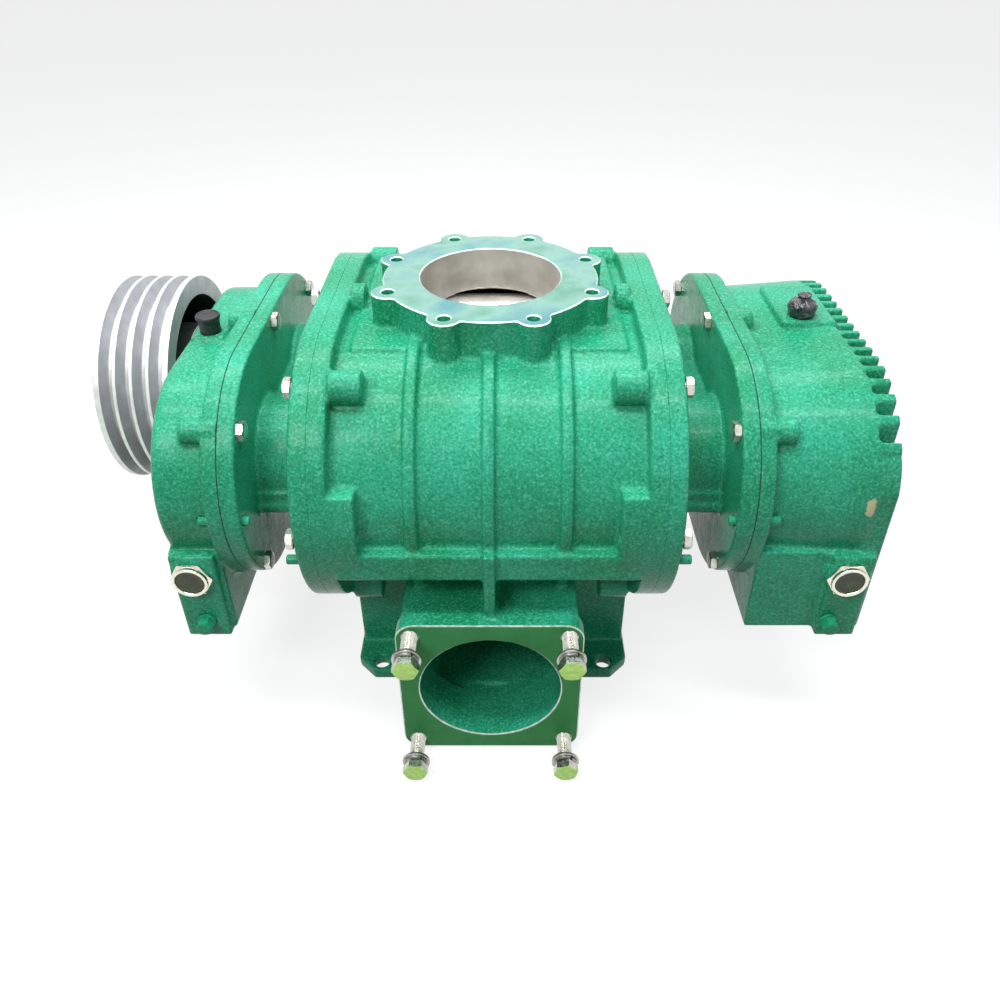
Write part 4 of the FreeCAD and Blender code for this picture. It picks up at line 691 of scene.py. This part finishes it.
def hex_head(metal, place, flats, height, foot=0.0, segments=60):
    """A forged hexagon with a chamfered crown and a washer face, from its seat up."""
    slope = math.tan(bpy.context.scene.pump_fasteners.crown_angle)
    crown = flats / 2 * 0.93
    dish = height * 0.985
    angles = [math.tau * k / segments for k in range(segments)]
    edges = [hexagon_radius(a, flats) for a in angles]
    rings = [[(min(crown, 0.95 * e), 0) for e in edges], [(crown, foot)] * segments]
    rings += [[(e * 0.985, foot) for e in edges], [(e, foot + 0.02 * height) for e in edges]]
    rings += [[(e, height - (e - crown) * slope) for e in edges], [(crown, height)] * segments]
    rings += [[(crown * 0.5, dish)] * segments]
    laid = [[place @ Vector((r * math.cos(a), r * math.sin(a), z)) for a, (r, z) in zip(angles, ring)]
            for ring in rings]
    skin(metal, [[place @ Vector((0, 0, 0))]] + laid + [[place @ Vector((0, 0, dish))]])


def thread(metal, place, radius, pitch, start, end, segments=28, rows=6):
    """A cut thread with its helix, closed at both ends."""
    depth = 0.58 * pitch
    count = int((end - start) / pitch * rows)
    rings = []
    for row in range(count + 1):
        along = start + (end - start) * row / count
        ring = []
        for k in range(segments):
            turn = k / segments
            phase = (along / pitch - turn) % 1
            here = radius - depth * max(0.0, min(1.0, abs(2 * phase - 1) * 1.25 - 0.12))
            angle = math.tau * turn
            ring.append(place @ Vector((here * math.cos(angle), here * math.sin(angle), along)))
        rings.append(ring)
    skin(metal, [[place @ Vector((0, 0, start))]] + rings + [[place @ Vector((0, 0, end))]])


def piece(name, metal, body, finishes, sharp=35.0):
    """A piece of the pump made from built-up corners and faces, riding on a body."""
    bmesh.ops.recalc_face_normals(metal, faces=metal.faces)
    mesh = bpy.data.meshes.new(name)
    metal.to_mesh(mesh)
    metal.free()
    for each in finishes:
        mesh.materials.append(finish(each))
    mesh.shade_smooth()
    mesh.set_sharp_from_angle(angle=math.radians(sharp))
    made = bpy.data.objects.new(name, mesh)
    bpy.context.scene.collection.objects.link(made)
    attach(made, body)
    return made


# Castings

def leave_stock(mesh, spot, way, stock):
    """Moves the corners of a face outward, as metal left on for milling."""
    for corner in mesh.vertices:
        if abs((corner.co - spot).dot(way)) < 0.02 * MM:
            corner.co += way * stock


def mill(metal, spot, way, edge):
    """Mills a casting flat at a plane, and breaks the edges of the new face."""
    for place, clear in ((spot - way * edge, False), (spot, True)):
        everything = metal.verts[:] + metal.edges[:] + metal.faces[:]
        bmesh.ops.bisect_plane(
            metal, geom=everything, dist=1e-7, plane_co=place, plane_no=way, clear_outer=clear)
    metal.normal_update()
    rim = [e for e in metal.edges if e.is_boundary]
    inward = {}
    for corner in {c for e in rim for c in e.verts}:
        side = corner.normal - way * corner.normal.dot(way)
        if side.length > 0.2:
            inward[corner] = side.normalized() * edge
    for corner, step in inward.items():
        corner.co -= step
    made = bmesh.ops.triangle_fill(metal, use_beauty=True, edges=rim, normal=way)
    for face in made["geom"]:
        if isinstance(face, bmesh.types.BMFace):
            face.normal_update()
            if face.normal.dot(way) < 0:
                face.normal_flip()


def cast(name, node, body, mills, finishes, choose):
    """A casting in the shape of a CAD node, with worn round edges and milled faces.

    mills holds (spot, way, edge) for each milled face. choose gives the index of a face's finish
    from its centre.
    """
    settings = bpy.context.scene.pump_castings
    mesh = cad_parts[node].data.copy()
    for spot, way, _ in mills:
        leave_stock(mesh, spot, way, settings.stock)
    blank = bpy.data.objects.new(name + "_blank", mesh)
    bpy.context.scene.collection.objects.link(blank)
    mould = blank.modifiers.new("mould", "REMESH")
    mould.mode = "VOXEL"
    mould.voxel_size = settings.mould_grain
    soften = blank.modifiers.new("soften", "SMOOTH")
    soften.factor = 0.5
    soften.iterations = settings.softening
    thin = blank.modifiers.new("thin", "DECIMATE")
    thin.ratio = settings.kept_share
    worn = bpy.data.meshes.new_from_object(blank.evaluated_get(bpy.context.evaluated_depsgraph_get()))
    bpy.data.objects.remove(blank)
    metal = bmesh.new()
    metal.from_mesh(worn)
    for spot, way, edge in mills:
        mill(metal, spot, way, edge)
    for face in metal.faces:
        face.material_index = choose(face.calc_center_median())
    made = piece(name, metal, body, finishes, sharp=45.0)
    flatten = made.modifiers.new("flat_faces", "WEIGHTED_NORMAL")
    flatten.keep_sharp = True
    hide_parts(node)
    return made


def casing_finish(centre):
    """Enamel outside, milled port faces with bare edges, and bored iron inside."""
    settings = bpy.context.scene.pump_castings
    below_inlet = INLET_TOP - centre.z
    behind_outlet = centre.y - OUTLET_FRONT
    if below_inlet < FLAT:
        return 1
    if behind_outlet < FLAT:
        return 4
    if min(below_inlet, behind_outlet) < settings.port_edge * 1.02:
        return 2
    if math.hypot(centre.x, centre.y) < PORT_REACH and centre.z > SHAFT_HEIGHT:
        return 3
    if abs(centre.x) > CASING_END - 1 * MM:
        return 0
    for side in (-1, 1):
        from_shaft = math.hypot(centre.y - side * DRIVE_AXIS_Y, centre.z - SHAFT_HEIGHT)
        if from_shaft < settings.chamber_radius + 1.5 * MM:
            return 3
    return 0


def all_enamel(centre):
    """One finish all over."""
    return 0


# A face's centre this near to a milled plane lies in it.
FLAT = 0.05 * MM
# Inside this distance from its axis, the inlet is bored.
PORT_REACH = 79 * MM


def cast_pieces():
    """The casing, the two end plates and the two covers."""
    settings = bpy.context.scene.pump_castings
    joint = settings.joint_edge
    cast("ribbed_casing", "main_casing", "pump_body", [
        (Vector((CASING_END, 0, 0)), ALONG_X, joint),
        (Vector((-CASING_END, 0, 0)), -ALONG_X, joint),
        (Vector((0, 0, INLET_TOP)), UP, settings.port_edge),
        (Vector((0, OUTLET_FRONT, 0)), FORWARD, settings.port_edge),
    ], ("green_casting", "milled_face", "bare_edge", "bored_iron", "face_paint"), casing_finish)
    for end, side in (("drive", -1), ("gear", 1)):
        gasket = sorted((abs(low(f"{end}_cover_gasket").x), abs(high(f"{end}_cover_gasket").x)))
        outward = ALONG_X * side
        cast(f"{end}_plate_casting", f"{end}_end_plate", "pump_body", [
            (outward * CASING_END, -outward, joint),
            (outward * gasket[0], outward, joint),
        ], ("green_casting",), all_enamel)
        cover = "drive_end_cover" if end == "drive" else "gear_cover"
        cast(f"{end}_cover_casting", cover, "pump_body", [
            (outward * gasket[1], -outward, joint),
        ], ("green_casting",), all_enamel)


# Fasteners

def plate_and_ring_bolts():
    """The bolts of the end plates and of the cover rings. Ring bolt heads face the casing."""
    settings = bpy.context.scene.pump_fasteners
    turns = random.Random(5)
    for node in ("drive_plate_bolts", "gear_plate_bolts", "drive_ring_bolts", "gear_ring_bolts"):
        metal = bmesh.new()
        drive = node.startswith("drive")
        outward = ALONG_X * (-1 if drive else 1)
        way = outward if "plate" in node else -outward
        for lowest, highest in solids(node):
            centre = (lowest + highest) / 2
            flats = highest.y - lowest.y
            length = highest.x - lowest.x
            top = centre + way * (length / 2)
            seat = top - way * settings.plate_head
            turn = Matrix.Rotation(math.radians(turns.uniform(-14, 14)), 4, "Z")
            hex_head(metal, facing(seat, way) @ turn, flats, settings.plate_head, foot=0.4 * MM)
            shank = flats / 3
            profile = [(0, 0), (0, shank), (-(length - settings.plate_head), shank),
                       (-(length - settings.plate_head), 0)]
            turned(metal, softened(profile, 1 * MM), facing(seat, way), 24)
        made = piece(node + "_set", metal, "pump_body", ("bolt_steel",))
        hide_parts(node)


def outlet_fasteners():
    """The four outlet bolts with cut threads, their split washers and their flat washers."""
    settings = bpy.context.scene.pump_fasteners
    metal = bmesh.new()
    turns = random.Random(11)
    for lowest, highest in solids("outlet_bolts"):
        centre = (lowest + highest) / 2
        flats = highest.z - lowest.z
        length = highest.y - lowest.y
        seat = Vector((centre.x, lowest.y + settings.outlet_head, centre.z))
        place = facing(seat, FORWARD)
        turn = Matrix.Rotation(math.radians(turns.uniform(-20, 20)), 4, "Z")
        hex_head(metal, place @ turn, flats, settings.outlet_head, foot=0.5 * MM)
        start = -(length - settings.outlet_head)
        thread(metal, place, flats / 3, settings.outlet_pitch, start, 0)
    # Painted reflection: the head ends that face the front get the lime-green finish.
    heads = low("outlet_bolts").y + 1.5 * MM
    for face in metal.faces:
        face.material_index = int(face.calc_center_median().y < heads)
    made = piece("outlet_bolt_set", metal, "pump_body", ("bolt_steel", "lime_zinc"))
    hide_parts("outlet_bolts")

    metal = bmesh.new()
    for lowest, highest in solids("outlet_spring_washers"):
        split_washer(metal, (lowest + highest) / 2, (highest.z - lowest.z) / 2, highest.y - lowest.y)
    made = piece("outlet_split_washers", metal, "pump_body", ("washer_steel",))
    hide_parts("outlet_spring_washers")

    metal = bmesh.new()
    for lowest, highest in solids("outlet_flat_washers"):
        outer = (highest.z - lowest.z) / 2
        half = (highest.y - lowest.y) / 2
        profile = [(-half, outer * 0.57), (half, outer * 0.57), (half, outer), (-half, outer)]
        place = facing((lowest + highest) / 2, FORWARD)
        turned(metal, softened(profile, 0.5 * MM, closed=True), place, 48, closed=True)
    made = piece("outlet_plain_washers", metal, "pump_body", ("washer_steel",))
    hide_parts("outlet_flat_washers")


def split_washer(metal, centre, outer, height, segments=44):
    """A spring washer: a flat bar wound once, its cut ends a little apart."""
    place = facing(centre, FORWARD)
    inner = outer * 0.66
    gap = math.radians(9)
    rise = height * 0.18
    start = math.radians(60)
    rings = []
    for k in range(segments + 1):
        share = k / segments
        angle = start + gap / 2 + (math.tau - gap) * share
        lift = (share - 0.5) * rise
        half = height / 2 - rise / 2
        corners = ((inner, lift - half), (outer, lift - half), (outer, lift + half), (inner, lift + half))
        rings.append([place @ Vector((r * math.cos(angle), r * math.sin(angle), z)) for r, z in corners])
    skin(metal, rings)
    metal.verts.ensure_lookup_table()
    first = len(metal.verts) - 4 * (segments + 1)
    metal.faces.new([metal.verts[first + k] for k in (3, 2, 1, 0)])
    metal.faces.new([metal.verts[-4 + k] for k in range(4)])


def dowel_pins():
    """The painted dowels, each with a domed end."""
    for node in ("plate_dowels", "ring_dowels"):
        metal = bmesh.new()
        for lowest, highest in solids(node):
            centre = (lowest + highest) / 2
            radius = (highest.y - lowest.y) / 2
            half = (highest.x - lowest.x) / 2
            profile = [(-half, 0), (-half, radius), (half, radius), (half, 0)]
            turned(metal, softened(profile, 1.6 * MM, 4), facing(centre, ALONG_X), 32)
        made = piece(node + "_set", metal, "pump_body", ("green_fitting",))
        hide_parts(node)


# Fittings

def sight_glasses():
    """The oil sight glasses: a nickel hexagon and ring round a domed glass."""
    for end in ("drive", "gear"):
        body, lens = f"{end}_sight_glass_body", f"{end}_sight_glass_lens"
        centre = middle(lens)
        flats = high(body).z - low(body).z
        glass = (high(lens).z - low(lens).z) / 2
        hexagon, nose, threaded = 4 * MM, 8 * MM, high(body).y - low(body).y - 8 * MM
        seat = Vector((centre.x, low(body).y + nose, centre.z))
        place = facing(seat, FORWARD)
        metal = bmesh.new()
        hex_ring(metal, place, flats, hexagon, glass)
        ring = flats / 2 - 0.8 * MM
        profile = [(-threaded, glass), (nose - 1.2 * MM, glass), (nose, glass + 1 * MM)]
        profile += [(nose, ring - 0.8 * MM), (nose - 0.8 * MM, ring), (0, ring), (-threaded, ring - 1.5 * MM)]
        turned(metal, softened(profile, 0.5 * MM, closed=True), place, 72, closed=True)
        made = piece(f"{end}_sight_ring", metal, "pump_body", ("sight_metal",))
        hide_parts(body)
        metal = bmesh.new()
        level = seat.y - low(lens).y
        dome = [(level - 5 * MM, 0), (level - 5 * MM, glass), (level - 1.2 * MM, glass)]
        dome += [(level - 1.2 * MM * (1 - math.cos(t)), glass * math.cos(t) ** 0.5 if t < 1.57 else 0)
                 for t in (0.3, 0.6, 0.9, 1.2)]
        dome += [(level, 0)]
        turned(metal, dome, place, 72)
        made = piece(f"{end}_sight_window", metal, "pump_body", ("sight_lens",))
        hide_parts(lens)


def hex_ring(metal, place, flats, height, bore, segments=72):
    """A chamfered hexagon collar with a bore."""
    slope = math.tan(bpy.context.scene.pump_fasteners.crown_angle)
    crown = flats / 2 * 0.96
    angles = [math.tau * k / segments for k in range(segments)]
    edges = [hexagon_radius(a, flats) for a in angles]
    rings = [[(bore, 0)] * segments, [(crown, 0)] * segments]
    rings += [[(e, min(height, (e - crown) * slope + 0.3 * MM)) for e in edges]]
    rings += [[(e, height - (e - crown) * slope - 0.2 * MM) for e in edges], [(crown, height)] * segments]
    rings += [[(bore, height)] * segments]
    laid = [[place @ Vector((r * math.cos(a), r * math.sin(a), z)) for a, (r, z) in zip(angles, ring)]
            for ring in rings]
    skin(metal, laid, closed=True)


def drain_plugs():
    """The drain plugs, painted over: a round collar and a hexagon."""
    for end in ("drive", "gear"):
        node = f"{end}_drain_plug"
        centre = middle(node)
        threaded, collar = 14 * MM, 3 * MM
        radius = (high(node).z - low(node).z) / 2
        seat = Vector((centre.x, high(node).y - threaded, centre.z))
        place = facing(seat, FORWARD)
        metal = bmesh.new()
        hex_head(metal, place, radius * 1.6, seat.y - low(node).y, foot=collar)
        rim = [(-threaded, 0), (-threaded, radius * 0.8), (0, radius * 0.8), (0, radius), (collar, radius)]
        rim += [(collar + 0.3 * MM, 0)]
        turned(metal, softened(rim, 0.6 * MM), place, 40)
        made = piece(node + "_painted", metal, "pump_body", ("green_fitting",))
        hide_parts(node)


def filler_cap():
    """The oil filler cap: moulded, wider at the top, with a shallow dish."""
    node = "oil_filler_cap"
    centre = middle(node)
    threaded = 11 * MM
    seat = Vector((centre.x, centre.y, low(node).z + threaded))
    radius = (high(node).y - low(node).y) / 2
    top = high(node).z - seat.z
    place = facing(seat, UP)
    profile = [(-threaded, 0), (-threaded, radius * 0.7), (0, radius * 0.7), (0, radius * 0.86)]
    profile += [(top * 0.2, radius * 0.84), (top * 0.68, radius * 0.88), (top * 0.8, radius)]
    profile += [(top * 0.94, radius), (top, radius * 0.93), (top, radius * 0.84)]
    profile += [(top * 0.93, radius * 0.78), (top * 0.93, 0)]
    metal = bmesh.new()
    turned(metal, softened(profile, 0.9 * MM), place, 96)
    for corner in metal.verts:
        across = Vector((corner.co.x - seat.x, corner.co.y - seat.y))
        height = corner.co.z - seat.z
        if 0.1 * top < height < 0.7 * top and across.length > radius * 0.8:
            angle = math.atan2(across.y, across.x)
            pinch = 1 - 0.03 * (0.5 + 0.5 * math.cos(20 * angle))
            corner.co.x = seat.x + across.x * pinch
            corner.co.y = seat.y + across.y * pinch
    made = piece("moulded_filler_cap", metal, "pump_body", ("cap_plastic",))
    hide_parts(node)


def wrapped_breather():
    """The breather under dark film that is gathered and twisted at the top."""
    node = "breather_cap"
    centre = middle(node)
    seat = Vector((centre.x, centre.y, low(node).z + 11 * MM))
    radius = (high(node).y - low(node).y) / 2
    top = (high(node).z - seat.z) * 1.1
    outline = [(-0.39, 0.62), (0, 0.62), (0.01, 0.9), (0.07, 0.99), (0.21, 1.0), (0.43, 1.03)]
    outline += [(0.57, 1.0), (0.66, 0.84), (0.73, 0.6), (0.79, 0.42), (0.85, 0.4), (0.93, 0.54)]
    outline += [(1, 0.42), (1, 0)]
    profile = softened([(along * top, out * radius) for along, out in outline], 2.5 * MM, 5)
    segments = 96
    rings = []
    for along, radius in profile:
        if radius < 1e-6:
            rings.append([seat + UP * along])
            continue
        ring = []
        for k in range(segments):
            angle = math.tau * k / segments
            spot = Vector((math.cos(angle), math.sin(angle), along / (14 * MM)))
            crumple = noise.turbulence(spot * 2.6 + Vector((4, 1, 7)), 3, True) - 0.5
            pleat = math.sin(9 * angle + 5 * noise.noise(spot * 1.7))
            depth = 0 if along < 0 else 1
            out = radius * (1 + depth * (0.12 * crumple + 0.05 * pleat * min(1, along / (10 * MM))))
            lift = depth * 1.1 * MM * noise.noise(spot * 3.1)
            ring.append(seat + Vector((out * math.cos(angle), out * math.sin(angle), along + lift)))
        rings.append(ring)
    metal = bmesh.new()
    skin(metal, rings)
    made = piece("wrapped_breather", metal, "pump_body", ("breather_cover",), sharp=60.0)
    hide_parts(node)


# Drive

def belt_pulley():
    """The four-groove pulley, turned from one section with its corners broken.

    Its web closes the outer end, and its hollow side faces the pump.
    """
    settings = bpy.context.scene.pump_pulley
    node = "belt_pulley"
    grooves = 4
    width = high(node).x - low(node).x
    radius = (high(node).z - low(node).z) / 2
    pitch, depth = settings.groove_pitch, settings.groove_depth
    top, floor = settings.groove_top, settings.groove_floor
    rim_inside = radius - depth - settings.rim_wall
    hub, bore = settings.hub_radius, high("taper_bush").z - SHAFT_HEIGHT
    inside = width - settings.web
    draft = 2 * MM
    first = (width - (grooves - 1) * pitch) / 2
    section = [(0, bore - settings.bush_taper), (0, hub), (inside, hub + draft)]
    section += [(inside, rim_inside - draft), (0, rim_inside), (0, radius)]
    for groove in range(grooves):
        centre = first + groove * pitch
        section += [(centre - top / 2, radius), (centre - floor / 2, radius - depth)]
        section += [(centre + floor / 2, radius - depth), (centre + top / 2, radius)]
    section += [(width, radius), (width, bore)]
    metal = bmesh.new()
    centre = Vector((high(node).x, DRIVE_AXIS_Y, SHAFT_HEIGHT))
    turned(metal, softened(section, 0.9 * MM, 3, closed=True), facing(centre, -ALONG_X), 192, closed=True)
    margin = 1 * MM
    for face in metal.faces:
        out = face.calc_center_median() - centre
        from_axis = math.hypot(out.y, out.z)
        if from_axis > radius - 0.6 * MM:
            face.material_index = 1
        # Painted shade: the faces inside the hollow side get the near-black finish.
        elif hub - margin < from_axis < rim_inside + margin and -margin > out.x > margin - width:
            face.material_index = 2
    finishes = ("pulley_iron", "bright_land", "dark_primer")
    made = piece("turned_pulley", metal, "drive_train", finishes, sharp=40.0)
    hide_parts(node)


# Carried-over parts

def carried_parts():
    """Gives the CAD nodes that still show the finish of their own slot."""
    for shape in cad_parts.values():
        if shape.hide_render:
            continue
        for holder in shape.material_slots:
            slot = holder.material.name.split(".")[0]
            holder.material = finish(slot)


# Stage

def floor_finish():
    """Pale floor: plain to the lamps, and white with a soft shadow to the camera, metal and glass."""
    material = bpy.data.materials.new("pale_floor")
    material.use_nodes = True
    tree = material.node_tree
    tree.nodes.clear()
    output = tree.nodes.new("ShaderNodeOutputMaterial")
    plain = tree.nodes.new("ShaderNodeBsdfDiffuse")
    plain.inputs["Color"].default_value = (0.1, 0.11, 0.07, 1)
    shaded = tree.nodes.new("ShaderNodeBsdfDiffuse")
    shaded.inputs["Color"].default_value = (0.3, 0.3, 0.3, 1)
    glow = tree.nodes.new("ShaderNodeEmission")
    glow.inputs["Color"].default_value = (1, 1, 1, 1)
    glow.inputs["Strength"].default_value = bpy.context.scene.pump_stage.floor_glow
    both = tree.nodes.new("ShaderNodeAddShader")
    tree.links.new(shaded.outputs[0], both.inputs[0])
    tree.links.new(glow.outputs[0], both.inputs[1])
    choice = tree.nodes.new("ShaderNodeMixShader")
    tree.links.new(seen_rays(tree), choice.inputs[0])
    tree.links.new(plain.outputs[0], choice.inputs[1])
    tree.links.new(both.outputs[0], choice.inputs[2])
    tree.links.new(choice.outputs[0], output.inputs[0])
    return material


def seen_rays(tree):
    """1 for rays from the camera, from gloss and through glass."""
    path = tree.nodes.new("ShaderNodeLightPath")
    total = path.outputs["Is Camera Ray"]
    for name in ("Is Glossy Ray", "Is Transmission Ray"):
        most = tree.nodes.new("ShaderNodeMath")
        most.operation = "MAXIMUM"
        tree.links.new(total, most.inputs[0])
        tree.links.new(path.outputs[name], most.inputs[1])
        total = most.outputs[0]
    return total


def white_world():
    """A world that is white where it is seen, and gives the object plain soft light."""
    world = bpy.data.worlds.new("studio")
    bpy.context.scene.world = world
    world.use_nodes = True
    tree = world.node_tree
    tree.nodes.clear()
    output = tree.nodes.new("ShaderNodeOutputWorld")
    light = tree.nodes.new("ShaderNodeBackground")
    light.inputs["Color"].default_value = (0.93, 0.97, 1, 1)
    light.inputs["Strength"].default_value = bpy.context.scene.pump_stage.daylight
    white = tree.nodes.new("ShaderNodeBackground")
    white.inputs["Color"].default_value = (1, 1, 1, 1)
    white.inputs["Strength"].default_value = 1.0
    choice = tree.nodes.new("ShaderNodeMixShader")
    tree.links.new(seen_rays(tree), choice.inputs[0])
    tree.links.new(light.outputs[0], choice.inputs[1])
    tree.links.new(white.outputs[0], choice.inputs[2])
    tree.links.new(choice.outputs[0], output.inputs[0])


def lamp(name, place, aim, size, power, colour):
    """A soft area lamp turned to a point."""
    light = bpy.data.lights.new(name, "AREA")
    light.shape = "RECTANGLE"
    light.size, light.size_y = size
    light.energy = power
    light.color = colour
    holder = bpy.data.objects.new(name, light)
    holder.location = place
    holder.rotation_euler = (Vector(aim) - Vector(place)).to_track_quat("-Z", "Y").to_euler()
    bpy.context.scene.collection.objects.link(holder)


# Each lamp's name, place, size and colour
LAMPS = (
    ("rear", (-0.1, 0.75, 2.1), (2.2, 0.35), (0.9, 0.97, 1)),
    ("top", (-0.1, -0.45, 2.2), (2.2, 0.2), (0.92, 0.98, 1)),
    ("key", (-0.9, -1.5, 1.9), (0.9, 0.5), (0.97, 1, 0.97)),
    ("fill", (1.4, -1.7, 0.9), (1.0, 1.0), (1, 1, 0.95)),
)
FLOOR_REACH = 20


def stage():
    """Floor, world, lamps and camera."""
    settings = bpy.context.scene.pump_stage
    scene = bpy.context.scene
    scene.view_settings.view_transform = "Standard"
    white_world()
    metal = bmesh.new()
    bmesh.ops.create_grid(metal, x_segments=1, y_segments=1, size=FLOOR_REACH)
    mesh = bpy.data.meshes.new("floor")
    metal.to_mesh(mesh)
    metal.free()
    mesh.materials.append(floor_finish())
    floor = bpy.data.objects.new("floor", mesh)
    floor.location.z = -0.2 * MM
    scene.collection.objects.link(floor)
    heart = (0, 0, SHAFT_HEIGHT)
    for name, place, size, colour in LAMPS:
        lamp(name + "_lamp", place, heart, size, getattr(settings, name + "_power"), colour)
    view = bpy.data.cameras.new("camera")
    view.sensor_width = 36
    view.lens = settings.lens
    view.shift_x, view.shift_y = settings.shift
    view.clip_start, view.clip_end = 0.05, 50
    camera = bpy.data.objects.new("camera", view)
    camera.location = settings.camera_place
    camera.rotation_euler = (math.pi / 2 - settings.camera_tilt, 0, 0)
    scene.collection.objects.link(camera)
    scene.camera = camera


# Add-on

class PUMP_OT_cast_pieces(bpy.types.Operator):
    """Cast and mill the casing, the end plates and the covers"""

    bl_idname = "pump.cast_pieces"
    bl_label = "Castings"

    def execute(self, context):
        cast_pieces()
        return {"FINISHED"}


class PUMP_OT_plate_and_ring_bolts(bpy.types.Operator):
    """Make the bolts of the end plates and cover rings"""

    bl_idname = "pump.plate_and_ring_bolts"
    bl_label = "Plate and Ring Bolts"

    def execute(self, context):
        plate_and_ring_bolts()
        return {"FINISHED"}


class PUMP_OT_outlet_fasteners(bpy.types.Operator):
    """Make the outlet bolts and their washers"""

    bl_idname = "pump.outlet_fasteners"
    bl_label = "Outlet Fasteners"

    def execute(self, context):
        outlet_fasteners()
        return {"FINISHED"}


class PUMP_OT_dowel_pins(bpy.types.Operator):
    """Make the painted dowels"""

    bl_idname = "pump.dowel_pins"
    bl_label = "Dowels"

    def execute(self, context):
        dowel_pins()
        return {"FINISHED"}


class PUMP_OT_sight_glasses(bpy.types.Operator):
    """Make the oil sight glasses"""

    bl_idname = "pump.sight_glasses"
    bl_label = "Sight Glasses"

    def execute(self, context):
        sight_glasses()
        return {"FINISHED"}


class PUMP_OT_drain_plugs(bpy.types.Operator):
    """Make the painted drain plugs"""

    bl_idname = "pump.drain_plugs"
    bl_label = "Drain Plugs"

    def execute(self, context):
        drain_plugs()
        return {"FINISHED"}


class PUMP_OT_filler_cap(bpy.types.Operator):
    """Make the oil filler cap"""

    bl_idname = "pump.filler_cap"
    bl_label = "Filler Cap"

    def execute(self, context):
        filler_cap()
        return {"FINISHED"}


class PUMP_OT_wrapped_breather(bpy.types.Operator):
    """Make the breather in its film"""

    bl_idname = "pump.wrapped_breather"
    bl_label = "Breather"

    def execute(self, context):
        wrapped_breather()
        return {"FINISHED"}


class PUMP_OT_belt_pulley(bpy.types.Operator):
    """Turn the belt pulley"""

    bl_idname = "pump.belt_pulley"
    bl_label = "Pulley"

    def execute(self, context):
        belt_pulley()
        return {"FINISHED"}


class PUMP_OT_carried_parts(bpy.types.Operator):
    """Finish the rotors, shafts, gears, bearings and seals"""

    bl_idname = "pump.carried_parts"
    bl_label = "Rotors and Inner Parts"

    def execute(self, context):
        carried_parts()
        return {"FINISHED"}


class PUMP_OT_stage(bpy.types.Operator):
    """Set up the floor, the lamps and the camera"""

    bl_idname = "pump.stage"
    bl_label = "Stage"

    def execute(self, context):
        stage()
        return {"FINISHED"}


STEPS = (
    PUMP_OT_cast_pieces,
    PUMP_OT_plate_and_ring_bolts,
    PUMP_OT_outlet_fasteners,
    PUMP_OT_dowel_pins,
    PUMP_OT_sight_glasses,
    PUMP_OT_drain_plugs,
    PUMP_OT_filler_cap,
    PUMP_OT_wrapped_breather,
    PUMP_OT_belt_pulley,
    PUMP_OT_carried_parts,
    PUMP_OT_stage,
)
SETTINGS = {
    "pump_castings": PumpCastings,
    "pump_paint": PumpPaint,
    "pump_metals": PumpMetals,
    "pump_fasteners": PumpFasteners,
    "pump_pulley": PumpPulley,
    "pump_stage": PumpStage,
}


class PUMP_PT_panel(bpy.types.Panel):
    """The pump's sizes, colours and steps"""

    bl_label = "Roots Vacuum Pump"
    bl_space_type = "VIEW_3D"
    bl_region_type = "UI"
    bl_category = "Pump"

    def draw(self, context):
        for name in SETTINGS:
            group = getattr(context.scene, name)
            box = self.layout.box()
            box.label(text=name.replace("_", " ").capitalize())
            for key in group.__annotations__:
                box.prop(group, key)
        for step in STEPS:
            self.layout.operator(step.bl_idname)


def register():
    for name, group in SETTINGS.items():
        bpy.utils.register_class(group)
        setattr(bpy.types.Scene, name, PointerProperty(type=group))
    for made in (*STEPS, PUMP_PT_panel):
        bpy.utils.register_class(made)


def unregister():
    for made in (PUMP_PT_panel, *reversed(STEPS)):
        bpy.utils.unregister_class(made)
    for name, group in SETTINGS.items():
        delattr(bpy.types.Scene, name)
        bpy.utils.unregister_class(group)


def main():
    register()
    for step in STEPS:
        group, action = step.bl_idname.split(".")
        getattr(getattr(bpy.ops, group), action)()


if __name__ == "__main__":
    main()
